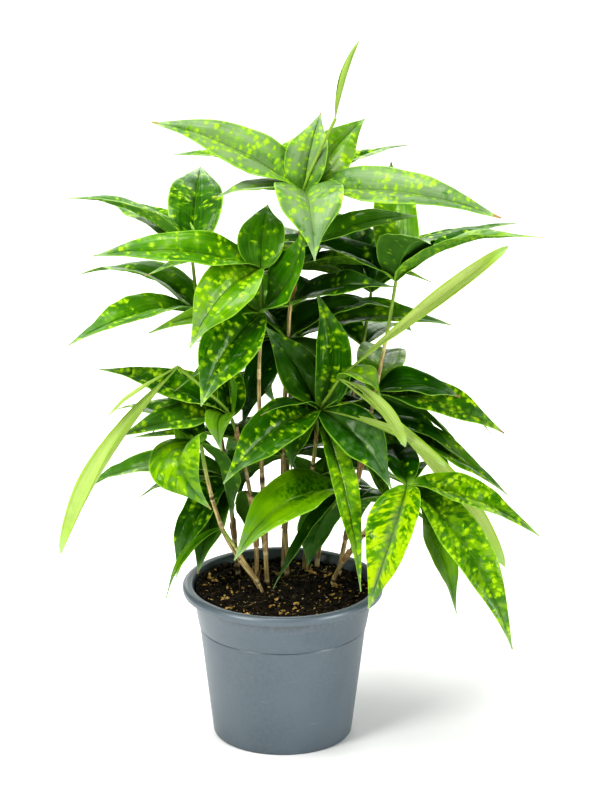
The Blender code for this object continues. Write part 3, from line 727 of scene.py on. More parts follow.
cutters = bpy.data.collections.new("cutters")
bpy.context.scene.collection.children.link(cutters)
for hole in range(DRAIN_HOLES):
    bm = bmesh.new()
    bmesh.ops.create_cone(
        bm, cap_ends=True, segments=24, radius1=DRAIN_RADIUS * MM, radius2=DRAIN_RADIUS * MM,
        depth=3 * FLOOR_TOP * MM,
    )
    turn = Matrix.Rotation(tau * (hole + 0.5) / DRAIN_HOLES, 4, "Z")
    place = turn @ Matrix.Translation((DRAIN_CIRCLE * MM, 0, 0))
    bmesh.ops.transform(bm, matrix=place, verts=bm.verts)
    cutter = bpy.data.objects.new("cutter", bpy.data.meshes.new("cutter"))
    bm.to_mesh(cutter.data)
    bm.free()
    cutters.objects.link(cutter)
holes = nursery_pot.modifiers.new("holes", "BOOLEAN")
holes.operand_type, holes.collection = "COLLECTION", cutters
holes.operation, holes.solver = "DIFFERENCE", "EXACT"
drilled = nursery_pot.evaluated_get(bpy.context.evaluated_depsgraph_get())
drilled_mesh = bpy.data.meshes.new_from_object(drilled)
nursery_pot.modifiers.clear()
nursery_pot.data = drilled_mesh
shade(drilled_mesh, POT_SHARP_ANGLE)
for cutter in list(cutters.objects):
    bpy.data.objects.remove(cutter, do_unlink=True)
bpy.data.collections.remove(cutters)
hand_over(nursery_pot, "pot")

# %% [markdown]
# ## The soil bed
# The bed fills the pot to six millimetres below the lip. It is spun too, with many rings in its
# top, and then each point of the top is lifted by noise: broad lumps where the soil was pressed
# and small ones between them. Only the top is ever seen, but the bed is a closed body like the
# solid that it stands for.

# %% Spin the soil and lift its top
GAP = 0.35
SOIL_EDGE_HEIGHT, SOIL_MOUND, SOIL_LUMP, SOIL_LUMP_SIZE = 89.0, 2.2, 1.5, 9.0
SMALL_LUMPS = ((9.0, 3.1, 0.5), (5.0, 1.4, 0.35))  # layer of the noise, width, height
LUMP_AT_MIDDLE, LUMP_LESS_AT_WALL = 1.2, 0.8
SOIL_BANK, SOIL_BANK_FROM = 3.2, 0.62
LUMPS_END, LUMPS_FADE = 1.02, 6
SOIL_TOP_RINGS, SOIL_SPIN_STEPS = 44, 150


def between(low, high, share):
    return low + share * (high - low)


def inner_radius(height):
    """The pot's inside radius at a height, in millimetres."""
    for (upper_radius, upper), (lower_radius, lower) in zip(POT_INSIDE, POT_INSIDE[1:]):
        if lower <= height <= upper:
            return between(lower_radius, upper_radius, (height - lower) / (upper - lower))


def soil_height(x, y):
    """The soil's surface at a point, in millimetres."""
    reach = hypot(x, y) / inner_radius(SOIL_EDGE_HEIGHT)
    lump = SOIL_LUMP * noise.noise(Vector((x, y, 3.0)) / SOIL_LUMP_SIZE)
    lump *= LUMP_AT_MIDDLE - LUMP_LESS_AT_WALL * reach
    small = sum(
        noise.noise(Vector((x, y, layer)) / width) * height for layer, width, height in SMALL_LUMPS
    )
    leftness = max(0.0, -x / hypot(x, y, 0.1))
    bank = SOIL_BANK * leftness**2 * max(0.0, (reach - SOIL_BANK_FROM) / (1 - SOIL_BANK_FROM))
    broad = SOIL_EDGE_HEIGHT + SOIL_MOUND * (1 - reach * reach) + lump
    return broad + bank + small * min(1.0, LUMPS_FADE * (LUMPS_END - reach))


edge_radius = inner_radius(SOIL_EDGE_HEIGHT) - GAP
soil_floor = FLOOR_TOP + GAP
top_radii = (edge_radius * ring / SOIL_TOP_RINGS for ring in range(SOIL_TOP_RINGS + 1))
side_line = [(inner_radius(height) - GAP, height) for height in (GROOVE_HEIGHT, soil_floor)]
bm = spun_body(
    [(radius, SOIL_EDGE_HEIGHT) for radius in top_radii] + side_line + [(0.0, soil_floor)],
    SOIL_SPIN_STEPS,
)
for vert in bm.verts:
    if vert.co.z > (SOIL_EDGE_HEIGHT - 1) * MM:
        vert.co.z = soil_height(vert.co.x / MM, vert.co.y / MM) * MM
hand_over(finish_piece(bm, "potting_soil", 60, peat), "soil")

# %% [markdown]
# ## What lies on the soil
# Crumbs of peat, flakes of bark and pale grains make the surface read as soil. Each is one small
# ball of twenty faces, pushed out of shape and turned at random, and hundreds of them go into one
# piece. They are thicker near the wall, where watering washes them, and a few lie up against the
# lip at the left. The random numbers have a seed, so every run scatters them the same way.

# %% Scatter crumbs, bark and grains
SUNK_IN, FROM_WALL, CROWDED_OUTWARD = 0.35, 0.8, 0.8
HEAP_FROM, HEAP_RISE = 0.72, 5
DENTS, CRUMB_LENGTH, CRUMB_WIDTH = (0.7, 1.25), (0.6, 1.5), (0.5, 1.0)
LEAN_ABOUT_X, LEAN_ABOUT_Y = (-0.6, 0.6), (-0.5, 0.5)


def since(sequence, first):
    """The points or faces that a bmesh has gained since there were so many."""
    sequence.ensure_lookup_table()
    return sequence[first:]


def add_crumb(bm, rng, sizes, squeeze):
    """A small misshapen body on the soil. squeeze is the least and most of its thinnest side."""
    turn = rng.uniform(0, tau)
    reach = sqrt(rng.uniform(0.0, 1.0)) ** CROWDED_OUTWARD * (edge_radius - FROM_WALL)
    x, y = reach * cos(turn), reach * sin(turn)
    size = rng.uniform(*sizes)
    heap = max(0.0, -x / edge_radius) * max(0.0, reach / edge_radius - HEAP_FROM)
    height = soil_height(x, y) + size * SUNK_IN + heap * HEAP_RISE * rng.random()
    first = len(bm.verts)
    bmesh.ops.create_icosphere(bm, subdivisions=1, radius=size * MM)
    verts = since(bm.verts, first)
    for vert in verts:
        vert.co *= rng.uniform(*DENTS)
    sides = [rng.uniform(*side) for side in (CRUMB_LENGTH, CRUMB_WIDTH, squeeze)]
    flat = Matrix.Diagonal((*sides, 1))
    lean = Matrix.Rotation(rng.uniform(*LEAN_ABOUT_X), 4, "X")
    lean @= Matrix.Rotation(rng.uniform(*LEAN_ABOUT_Y), 4, "Y")
    spin_round = Matrix.Rotation(rng.uniform(0, tau), 4, "Z")
    place = Matrix.Translation((x * MM, y * MM, height * MM))
    bmesh.ops.transform(bm, matrix=place @ spin_round @ lean @ flat, verts=verts)


def lay_on_soil(name, finish, seed, sharp_angle, add, *lots):
    """A piece of many small things. A lot is how many there are, and what add is told of them."""
    bm, rng = bmesh.new(), random.Random(seed)
    for count, *lot in lots:
        for _ in range(count):
            add(bm, rng, *lot)
    hand_over(finish_piece(bm, name, sharp_angle, finish))


SMALL_CRUMBS, LARGE_CRUMBS = (1000, (0.5, 1.2), (0.5, 1.0)), (300, (1.2, 2.2), (0.5, 0.9))
SMALL_FLAKES, LARGE_FLAKES = (280, (0.4, 1.1), (0.3, 0.6)), (75, (1.1, 2.2), (0.3, 0.6))
lay_on_soil("soil_crumbs", crumb_peat, 5, 30, add_crumb, SMALL_CRUMBS, LARGE_CRUMBS)
lay_on_soil("soil_bark", bark_bits, 6, 30, add_crumb, SMALL_FLAKES, LARGE_FLAKES)
lay_on_soil("soil_grains", pale_grains, 7, 30, add_crumb, (70, (0.35, 0.8), (0.6, 1.0)))

# %% [markdown]
# Roots and fibres of the peat lie among the crumbs. A strand is a narrow grid rolled up about a
# bent line, with three sides, because it is too thin to show more. Canes are rolled up the same
# way later on, so the helpers that bend a grid and close a tube are made here.

# %% Lay roots and fibres
UP = Vector((0, 0, 1))
SEAM = 0.001 * MM
STRAND_SIDES, STRAND_STEPS, STRAND_TAPER = 3, 7, 0.6
STARTS_FROM_WALL, STAYS_FROM_WALL, STRAND_RISE = 5, 1.5, (-0.1, 0.5)
STEADY_BEND, WANDER = (-0.16, 0.16), (-0.25, 0.25)


def flat_grid(bm, columns, rows):
    """The points of a new flat grid, with their place across, from -1 to 1, and their share up."""
    for vert in bmesh.ops.create_grid(bm, x_segments=columns, y_segments=rows, size=1.0)["verts"]:
        yield vert, vert.co.x, (vert.co.y + 1) / 2


def around(side, other, turn):
    return side * cos(turn) + other * sin(turn)


def turn_outward(bm, first_face, finish=0):
    """Turns the faces that are new outward, and gives them the number of their finish."""
    body = since(bm.faces, first_face)
    bmesh.ops.recalc_face_normals(bm, faces=body)
    for face in body:
        face.material_index = finish
    return body


def close_tube(bm, first_vert, first_face, finish=0):
    """Closes the seam and both ends of a grid that is rolled up."""
    bmesh.ops.remove_doubles(bm, verts=since(bm.verts, first_vert), dist=SEAM)
    tube = since(bm.faces, first_face)
    rims = [edge for face in tube for edge in face.edges if edge.is_boundary]
    bmesh.ops.holes_fill(bm, edges=rims, sides=0)
    turn_outward(bm, first_face, finish)


def add_strand(bm, rng, lengths, radii):
    """A thin bent strand that follows the soil's surface."""
    length, radius = rng.uniform(*lengths), rng.uniform(*radii)
    turn, reach = rng.uniform(0, tau), sqrt(rng.random()) * (edge_radius - STARTS_FROM_WALL)
    x, y = reach * cos(turn), reach * sin(turn)
    heading, bend = rng.uniform(0, tau), rng.uniform(*STEADY_BEND)
    line = []
    for _ in range(STRAND_STEPS + 1):
        within = min(1.0, (edge_radius - STAYS_FROM_WALL) / max(1.0, hypot(x, y)))
        x, y = x * within, y * within
        line.append(Vector((x, y, soil_height(x, y) + radius * 0.8 + rng.uniform(*STRAND_RISE))))
        heading += bend + rng.uniform(*WANDER)
        x += length / STRAND_STEPS * cos(heading)
        y += length / STRAND_STEPS * sin(heading)
    first = len(bm.verts), len(bm.faces)
    for vert, across, up in flat_grid(bm, STRAND_SIDES, STRAND_STEPS):
        row = round(up * STRAND_STEPS)
        before, after = line[max(0, row - 1)], line[min(STRAND_STEPS, row + 1)]
        side = (after - before).normalized().cross(UP).normalized()
        taper = 1 - STRAND_TAPER * row / STRAND_STEPS
        vert.co = (line[row] + around(side, UP, (across + 1) * pi) * radius * taper) * MM
    close_tube(bm, *first)


FINE_FIBRES, THICK_FIBRES = (60, (5, 12), (0.12, 0.25)), (16, (14, 30), (0.25, 0.45))
lay_on_soil("soil_fibres", root_fibre, 12, 60, add_strand, FINE_FIBRES, THICK_FIBRES)

# %% [markdown]
# ## Stems and leaves: the plan
# The plan of the plant is a table: each stem is one or two shoots, each shoot is a path with its
# radii at foot and tip, and whorls of leaves hang on numbered points of that path. A leaf is given
# by the place of its tip from its foot, its width, the bow of its midrib, its look, and its roll
# and sideways sweep where it has any. Lengths are millimetres.

# %% Leaf and shoot tables
Leaf = namedtuple("Leaf", "dx dy dz width arch look roll sweep", defaults=(0.0, 0.0))
Shoot = namedtuple("Shoot", "path radii whorls", defaults=({},))
Look = namedtuple(
    "Look", "youth spots brightness mottle sheen netting form", defaults=(0.0, 0.0, 0.0, "mature")
)

# The fifth number of a look is how much sheen is painted into its colour, standing in for reflected
# light. The sage look and the deep sheened look carry the most of it.
LOOKS = {
    "deep": Look(0.0, 0.26, 0.32, 0.0, 0.10),
    "deep_painted_sheen": Look(0.0, 0.24, 0.38, 0.0, 0.38),
    "deep_plain": Look(0.0, 0.06, 0.28, 0.0, 0.05),
    "deep_spotted": Look(0.0, 0.60, 0.38, 0.0, 0.10),
    "mid": Look(0.0, 0.30, 0.55, 0.0, 0.15),
    "mid_plain": Look(0.0, 0.05, 0.58, 0.0, 0.10),
    "olive": Look(0.0, 0.03, 0.70, 0.2),
    "mid_spotted": Look(0.0, 0.55, 0.58, 0.0, 0.20),
    "lime": Look(0.10, 0.15, 0.80, 0.0, 0.15),
    "lime_spotted": Look(0.0, 0.60, 0.80, 0.0, 0.45),
    "mottled": Look(0.0, 0.05, 0.90, 0.50),
    "lime_netted": Look(0.0, 0.35, 0.62, 0.0, 0.30, 0.60),
    "netted": Look(0.0, 0.65, 0.56, 0.15, 0.25, 0.40),
    "blotched": Look(0.0, 0.65, 0.66, 0.0, 0.20, 0.85),
    "sage_painted_sheen": Look(0.0, 0.65, 0.60, 0.0, 0.90),
    "pale": Look(0.95, 0.0, 0.9, form="young"),
    "young": Look(0.75, 0.0, 0.9, form="young"),
    "rolled": Look(0.42, 0.0, 0.8, form="spear"),
}
STEMS = {
    "stem_left_low": [
        Shoot([(-6, -1, 60), (-13.5, -2.5, 91), (-25, -4.5, 110), (-36, -6, 131), (-44, -9, 160),
               (-48.5, -12, 187)], (1.6, 1.15), {
            5: [(6, -38, -28, 40, 13, "lime_netted", 38, -16), (18, 10, -51, 26, 6, "deep"),
                (-52, 44, 8, 30, 8, "deep_spotted")],
            3: [(-34, -29, -33, 7.5, 9, "olive")]}),
        Shoot([(-6, -8, 60), (-12, -8.5, 91), (-23, -9.5, 112), (-36, -6, 131)], (1.1, 0.9))],
    "stem_left_mid": [
        Shoot([(-15, 6.5, 60), (-15.5, 6.5, 92), (-16.5, 5, 125), (-22, 0, 165), (-31, -8, 202),
               (-46, -14, 221), (-61, -20, 237)], (1.55, 0.95), {
            4: [(-65, -24, -4, 25, 4, "deep_spotted", -20),
                (-77, 8, 27, 28, 5, "deep_spotted", -20), (-7, -32, -12, 18, 8, "lime", 0, -4),
                (-36, -10, 10, 14, 24, "mid_plain"), (-2, 22, 32, 20, 4, "deep_spotted", 20),
                (-45, 62, -6, 30, 8, "mid_spotted")],
            6: [(-68, -30, -106, 23, 6, "young"), (-41, -16, -23, 5, 1, "young")]})],
    "stem_front_tall": [
        Shoot([(-9, 4.5, 60), (-9.5, 4.5, 92), (-12, 2, 150), (-14.3, -4, 220), (-12.8, -8, 266),
               (-13.3, -8, 293)], (1.55, 1.0), {
            5: [(-97, -12, 13, 31, 6, "mid_spotted", -25),
                (-43, -40, -30, 34, 8, "lime_spotted", -35), (4, 26, 33, 30, 5, "mid")],
            4: [(25, -10, 59, 29, -6, "mid", 55), (-35, -38, -44, 36, 8, "deep_spotted", -35),
                (-66, -10, -4, 14, 5, "lime", -40), (-22, 66, 4, 30, 8, "mid_spotted")]})],
    "stem_centre": [
        Shoot([(13, 31, 60), (13.3, 30, 92), (14.9, 26, 115), (17, 14, 155), (20, 4, 188),
               (21, 0, 203), (27, -5, 215), (32.4, -10, 226)], (1.7, 0.9), {
            5: [(-56, -48, -28, 32, 8, "deep_spotted", -30),
                (42, -38, -35, 32, 8, "deep_painted_sheen", 25), (25, -57, -92, 17, 10, "netted"),
                (73, -48, -20, 10, 5, "young"), (48, -20, -62, 26, 5, "netted"),
                (-3, 12, 72, 24, 6, "deep_spotted", 0, -8), (-30, 14, 48, 28, 3, "deep", -58),
                (-32, -24, 16, 14, 6, "deep_plain"), (-17, -14, -32, 26, 6, "mid_plain"),
                (48, 56, 4, 32, 8, "mid_spotted")],
            7: [(26, -12, -7, 24, 7, "lime_spotted"), (100, -14, -112, 17, 7, "pale", 38),
                (40, -28, -31, 11, 7, "young", 20), (99, 20, 75, 12, 1, "pale", 50)]}),
        Shoot([(14.9, 26, 115), (20, 14, 125), (29, 0, 142), (35.7, -8, 155.5)], (1.1, 0.85), {
            3: [(-65, -40, -28, 35, 14, "mottled", -24), (-41, -18, -55, 14, 4, "deep_plain"),
                (-21, 4, -51, 30, 4, "deep_plain", 50), (-40, 8, -36, 16, 6, "mid_plain")]})],
    "stem_right_low": [
        Shoot([(28, 8, 60), (30, 6, 92), (40, -4, 116), (54, -19, 142), (65, -29, 158),
               (72.4, -35, 169)], (1.5, 1.05), {
            5: [(-24, -37, -63, 34, 12, "blotched", 0, 8), (77, -14, -26, 27, 7, "netted", 16),
                (61, -40, -87, 28, 12, "netted", 32), (30, -2, -80, 30, 4, "olive", 32),
                (-18, 60, -4, 24, 7, "deep"), (8, 62, -16, 26, 10, "mid_spotted")]})],
    "stem_tall": [
        Shoot([(3, 17, 60), (2.5, 17, 92), (0, 14, 170), (3, 12, 244), (4, 11, 264), (9, 7, 299),
               (11.5, 5, 335), (20, 7, 358), (30, 9, 379)], (1.75, 0.9), {
            # The top whorl's sage leaves have a pale sheen painted into their colour
            6: [(-88, 20, 39, 35, 6, "sage_painted_sheen", -28), (114, -30, -4, 34, 7, "sage_painted_sheen", 24),
                (6, -63, -21, 43, 14, "sage_painted_sheen"), (10, 25, 42, 28, 3, "sage_painted_sheen"),
                (37, 45, 33, 28, 3, "lime_spotted", 43), (-51, -18, 12, 22, 3, "sage_painted_sheen"),
                (24, 74, 8, 32, 8, "mid_spotted")],
            8: [(13, 6, 45, 12, 1, "rolled")],
            5: [(69, 2, 22, 22, 5, "mid", 25)],
            4: [(65, -16, 11, 24, 6, "deep", 25), (-56, 46, 16, 30, 8, "mid_spotted")]})],
    "stem_right": [
        Shoot([(32, 24, 60), (34, 23, 92), (42, 14, 140), (50, 4, 190), (54, 0, 213),
               (61, 5, 250), (66, 10, 280)], (1.55, 0.95), {
            4: [(76, -12, -20, 30, 7, "deep_spotted", 25),
                (49, -4, -8, 26, 7, "deep_plain", 20)]})],
    "stem_back": [
        Shoot([(0, 34, 60), (0.5, 35, 92), (3, 40, 160), (6, 47, 230), (9, 52, 275), (12, 54, 315)],
              (1.6, 0.95))],
    "stem_back_left": [
        Shoot([(-26, 20, 60), (-27, 21, 92), (-33, 27, 150), (-42, 35, 205), (-50, 41, 250),
               (-54, 44, 285)], (1.55, 0.95))],
    "stem_back_right": [
        Shoot([(20, 38, 60), (21, 40, 92), (30, 49, 140), (41, 58, 185), (48, 63, 222),
               (53, 66, 255)], (1.5, 0.95))],
}
print(len(STEMS), "stems with", sum(len(shoots) for shoots in STEMS.values()), "shoots")

# %% [markdown]
# The leaves at the back and inside follow a rule instead: each whorl has a number of leaves, turned
# from the last whorl by the golden angle as on a real plant, and drawn a little outward from the
# middle of the crown to the light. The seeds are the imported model's, so the same leaves come out.

# %% Leaves that follow the rule
ALL_ROUND, REAR = (0.0, 360.0), (-15.0, 195.0)
Whorl = namedtuple("Whorl", "point leaves rise sector", defaults=(ALL_ROUND,))
RULED_WHORLS = {
    "stem_tall": [(3, 3, -5, REAR), (2, 3, -15, REAR)],
    "stem_front_tall": [(3, 2, -10, REAR), (2, 2, -25, REAR)],
    "stem_centre": [(3, 3, -20, REAR)],
    "stem_left_mid": [(3, 2, -25, REAR)],
    "stem_right_low": [(4, 2, -5, REAR)],
    "stem_right": [(6, 5, 20), (4, 2, -15, REAR), (3, 2, -20)],
    "stem_back": [(5, 5, 22), (4, 3, 0), (3, 3, -15), (2, 3, -20)],
    "stem_back_left": [(5, 5, 20), (4, 3, -2), (3, 3, -20), (2, 3, -20)],
    "stem_back_right": [(5, 5, 20), (4, 3, -5), (3, 3, -20)],
}
RULED_LENGTH, RULED_WIDTH, RULED_ARCH, RULED_JITTER = (70.0, 98.0), (27.0, 36.0), (0.06, 0.14), 13.0
CROWN_AXIS, OUTWARD_PULL, GOLDEN_ANGLE = Vector((10.0, 10.0)), 0.45, 137.5
RULED_LOOKS = (
    "mid_spotted", "deep_spotted", "mid", "deep", "lime_spotted", "deep_spotted", "netted",
    "mid_spotted",
)
INNER_WHORLS = {
    "stem_back": [(3, 3, -38), (2, 3, -30), (4, 3, -25)],
    "stem_tall": [(3, 3, -35, REAR), (2, 2, -35, REAR), (4, 3, -20, REAR)],
    "stem_back_left": [(3, 3, -38), (2, 3, -25)],
    "stem_back_right": [(3, 3, -35), (2, 3, -25)],
    "stem_front_tall": [(3, 2, -40, REAR), (2, 3, -30, REAR)],
    "stem_right": [(3, 3, -40), (2, 2, -25, REAR), (4, 2, -30, REAR)],
    "stem_left_mid": [(3, 2, -35, REAR)],
    "stem_centre": [(3, 2, -30, REAR), (5, 2, -15, REAR)],
}
INNER_LENGTH, INNER_WIDTH = (50.0, 76.0), (22.0, 30.0)
INNER_LOOKS = ("deep", "deep_plain", "deep_spotted", "mid_plain", "deep", "mid")
RULE_SEED, INNER_SEED, LOOK_SEED = 41, 19, 8


def ruled_whorls(rule, seed, lengths, widths, looks):
    """Leaves that a rule hangs on the stems, each with its stem and the place of its foot."""
    rng, pick = random.Random(seed), random.Random(LOOK_SEED)

    def jitter():
        return rng.uniform(-1, 1) * RULED_JITTER

    for name, rows in rule.items():
        start = rng.uniform(*ALL_ROUND)
        for order, row in enumerate(rows):
            whorl = Whorl(*row)
            base = Vector(STEMS[name][0].path[whorl.point])
            outward = (base.to_2d() - CROWN_AXIS).normalized()
            first, last = whorl.sector
            step = (last - first) / whorl.leaves
            turn = first + step / 2 if whorl.sector == REAR else start + order * GOLDEN_ANGLE
            for number in range(whorl.leaves):
                heading = radians(turn + number * step + jitter())
                way = Vector((cos(heading), sin(heading))) + outward * OUTWARD_PULL
                way.normalize()
                length = rng.uniform(*lengths)
                lift = radians(whorl.rise + jitter())
                width, arch = rng.uniform(*widths), rng.uniform(*RULED_ARCH) * length
                look, roll, flat = pick.choice(looks), jitter(), cos(lift)
                reach = (way.x * flat * length, way.y * flat * length, sin(lift) * length)
                yield name, base, Leaf(*reach, width, arch, look, roll)


leaf_table = [
    (name, Vector(shoot.path[point]), Leaf(*row))
    for name, shoots in STEMS.items()
    for shoot in shoots
    for point, rows in shoot.whorls.items()
    for row in rows
]
by_hand = len(leaf_table)
leaf_table += ruled_whorls(RULED_WHORLS, RULE_SEED, RULED_LENGTH, RULED_WIDTH, RULED_LOOKS)
leaf_table += ruled_whorls(INNER_WHORLS, INNER_SEED, INNER_LENGTH, INNER_WIDTH, INNER_LOOKS)
print(by_hand, "leaves placed by hand and", len(leaf_table) - by_hand, "by the rule")

# %% [markdown]
# ## Where each leaf ended up
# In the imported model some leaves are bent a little, so that no two stems touch, and a few found no
# room and are left out. A leaf's midrib is a curve from its foot to its tip, and its blade a fold
# about that curve. The bend is found again by trying the small ones first and asking the solid
# itself: the right one has corners of the solid at the leaf's tip.

# %% The blade's curve, and the search for its bend
BASE_HALF_WIDTH, TIP_HALF_WIDTH, TWIST_END, TIP_TOLERANCE = 1.2, 0.45, 0.35, 0.45
BEND_TURN, BEND_LIFT, BEND_SIZES = 3.0, 3.5, range(1, 11)
BEND_WAYS = ((0, 1), (0, -1), (1, 0), (-1, 0), (1, 1), (-1, 1), (1, -1), (-1, -1))


def blade_frame(base, blade, along):
    """The midrib's point, and the directions across and up, at a share of a blade's length."""
    tip = Vector(blade[:3])
    side = UP.cross(Vector((blade.dx, blade.dy, 0.0)).normalized())
    upward = tip.normalized().cross(side)
    bend = tip * 0.45 + upward * 2 * blade.arch + side * 2 * blade.sweep
    point = base + 2 * along * (1 - along) * bend + along * along * tip
    tangent = (2 * (1 - 2 * along) * bend + 2 * along * tip).normalized()
    side = (side - side.dot(tangent) * tangent).normalized()
    twist = radians(blade.roll) * min(1.0, along / TWIST_END)
    side = Matrix.Rotation(twist, 3, tangent) @ side
    return point, side, tangent.cross(side)


def bends_of(blade):
    """A leaf with its tip turned aside and lifted, the smallest bends first."""
    yield blade
    reach = Vector(blade[:3])
    for size in BEND_SIZES:
        for turn, lift in BEND_WAYS:
            tip = Matrix.Rotation(radians(turn * size * BEND_TURN), 3, "Z") @ reach
            tip.z += lift * size * BEND_LIFT
            tip *= reach.length / tip.length
            yield blade._replace(dx=tip.x, dy=tip.y, dz=tip.z)


def corners_of(node):
    """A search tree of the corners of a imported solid, in millimetres."""
    verts = frame["nodes"][node].data.vertices
    tree = KDTree(len(verts))
    for vert in verts:
        tree.insert(vert.co / MM, vert.index)
    tree.balance()
    return tree


solid_corners = {name: corners_of(name) for name in STEMS}
grown = []
for name, base, blade in leaf_table:
    for candidate in bends_of(blade):
        point, side, _ = blade_frame(base, candidate, 1.0)
        ends = [point + side * across * TIP_HALF_WIDTH for across in (-1, 1)]
        if all(solid_corners[name].find(end)[2] < TIP_TOLERANCE for end in ends):
            grown.append((name, base, candidate))
            break
print(len(grown), "leaves found in the solids,", len(leaf_table) - len(grown), "left out")

# %% [markdown]
# ## Growing a leaf
# Each leaf starts as a flat grid. Its rows are bent along the midrib and its columns across it,
# with narrow columns at the midrib and at the margin, where the form changes fastest. Three things
# make it look alive: the halves arch instead of lying flat, the margins run in a slight wave, and
# the tip is drawn out into a point. A little noise crinkles the blade, which breaks up the
# highlights. Solidify then gives the sheet its thickness.

# %% The leaf builder
ROWS = 40
COLUMN_SHARES = (0.0, 0.05, 0.18, 0.36, 0.56, 0.77, 0.93, 1.0)
HALF_COLUMNS = len(COLUMN_SHARES) - 1
LEAF_THICKNESS, CRINKLE_SIZE, GROOVE = 0.42, 9.0, 0.3
# The outline's powers toward base and tip, and how steeply a half starts and how far it arches
Form = namedtuple("Form", "toward_base toward_tip folds arches")
FORMS = {
    "mature": Form(0.62, 1.0, (26.0, 9.0), (17.0, 17.0)),
    "young": Form(1.3, 0.55, (64.0, 22.0), (-26.0, -26.0 * 22 / 64)),
    "spear": Form(0.90, 0.70, (85.0, 85.0), (-85.0, -85.0)),
}
WAVE_HEIGHT, WAVE_COUNT, TIP_CURL, CRINKLE, DRAWN = (
    (0.6, 1.5), (1.1, 2.3), (-2.6, 0.8), (0.5, 1.3), (0.28, 0.48)
)
YOUNG_WAVE, YOUNG_CRINKLE, YOUNG_DRAWN = 0.4, 0.3, 0.15
USUAL_WIDTH, DRAWN_FROM, DRAWN_TO = 26, 0.58, 0.92
YOUTH_VARIES, SPOTS_VARY, BRIGHTNESS_VARIES = (-0.04, 0.04), (0.8, 1.2), (-0.07, 0.07)
YOUNG_OVER, DRY_TIPS, LEAF_DEPTH_STEP = 0.3, (0.0, 0.0, 0.0, 0.7, 1.0), 7.31
UPPER, UNDER, YOUNG, CANE, SHEATH = range(5)


def smooth(value, low, high):
    share = min(1.0, max(0.0, (value - low) / (high - low)))
    return share * share * (3 - 2 * share)


def half_width(blade, form, along, drawn):
    """Half the blade's width at a share of its length. drawn is how far the tip is drawn out."""
    widest = form.toward_base / (form.toward_base + form.toward_tip)
    fullest = widest**form.toward_base * (1 - widest) ** form.toward_tip
    outline = along**form.toward_base * (1 - along) ** form.toward_tip / fullest
    outline *= 1 - drawn * smooth(along, DRAWN_FROM, DRAWN_TO)
    return max(between(BASE_HALF_WIDTH, TIP_HALF_WIDTH, along), blade.width / 2 * outline)


def half_section(form, along, share):
    """How far out and how far up a point of a half blade lies, for a half width of 1."""
    arch = between(*form.arches, along)
    first, turned = radians(between(*form.folds, along) + arch), radians(-2 * arch)
    out = (sin(first + turned * share) - sin(first)) / turned
    return out, (cos(first) - cos(first + turned * share)) / turned


def add_leaf(bm, layers, base, blade, seed):
    rng, look = random.Random(seed), LOOKS[blade.look]
    form, mature = FORMS[look.form], look.form == "mature"
    length = Vector(blade[:3]).length
    wave_height = rng.uniform(*WAVE_HEIGHT) * (1.0 if mature else YOUNG_WAVE)
    wave_height *= min(1.2, blade.width / USUAL_WIDTH)
    waves = [(rng.uniform(*WAVE_COUNT), rng.uniform(0, tau)) for _ in range(2)]
    tip_curl = rng.uniform(*TIP_CURL)
    crinkled = rng.uniform(*CRINKLE) if mature else YOUNG_CRINKLE
    drawn = rng.uniform(*DRAWN) if mature else YOUNG_DRAWN
    youth = min(1.0, max(0.0, look.youth + rng.uniform(*YOUTH_VARIES)))
    spots = look.spots * rng.uniform(*SPOTS_VARY)
    brightness = look.brightness + rng.uniform(*BRIGHTNESS_VARIES)
    young = look.youth > YOUNG_OVER
    dryness = 0.0 if young else rng.choice(DRY_TIPS)
    first_face, rows = len(bm.faces), {}
    for vert, hand, far in flat_grid(bm, 2 * HALF_COLUMNS, ROWS):
        row, share = round(far * ROWS), COLUMN_SHARES[round(abs(hand) * HALF_COLUMNS)]
        along, across = row / ROWS, copysign(share, hand)
        if row not in rows:
            rows[row] = (*blade_frame(base, blade, along), half_width(blade, form, along, drawn))
        point, side, upward, half = rows[row]
        place = (across * half, along * length, seed * LEAF_DEPTH_STEP)
        out, up = half_section(form, along, share)
        count, phase = waves[hand > 0]
        wave = wave_height * share**2 * sin(tau * count * along + phase)
        groove = -GROOVE * (1 - smooth(share, 0.0, 0.12)) * smooth(half, 2.0, 6.0)
        crinkle = noise.noise(Vector(place) / CRINKLE_SIZE) * crinkled * smooth(half, 2.0, 8.0)
        rise = up * half + wave * sin(pi * along) + groove + crinkle
        rise += tip_curl * smooth(along, 0.75, 1.0)
        vert.co = (point + side * copysign(out * half, hand) + upward * rise) * MM
        vert[layers["place"]] = place
        vert[layers["shape"]] = (across, along, dryness)
        vert[layers["look"]] = (youth, spots, brightness)
        # habit: mottle, the amount of painted sheen, and netting
        vert[layers["habit"]] = (look.mottle, look.sheen, look.netting)
    sheet = since(bm.faces, first_face)
    bmesh.ops.solidify(bm, geom=sheet, thickness=-LEAF_THICKNESS * MM)
    for number, face in enumerate(turn_outward(bm, first_face)):
        face.material_index = YOUNG if young else UNDER if number < len(sheet) else UPPER


print("a leaf has", 2 * 2 * HALF_COLUMNS * ROWS + 4 * HALF_COLUMNS + 2 * ROWS, "faces")

# %% [markdown]
# ## Growing a cane
# A cane is a tube about a smooth curve through the path's points. The tube is a grid again, rolled
# up about that curve, and its seam is closed by merging doubles. Every 20 millimetres or so the
# radius swells into a ring, the scar of an old leaf.

# %% The cane builder
CANE_STEPS, CANE_SIDES = 14, 14
FIRST_RING_MM, RING_SPACING_MM, RING_FREE_TIP_MM, RING_SWELL = (30, 40), (16.0, 27.0), 4, 0.22
RING_HALF_WIDTH, LUMPINESS, LUMP_SIZE, GRAIN_RADIUS = 1.1, 0.05, 3.0, 1.8
GREEN_BEFORE, GREEN_AFTER, CANE_GRAIN_STEP, SHEATH_GRAIN_STEP = 0.15, 0.25, 50, 31


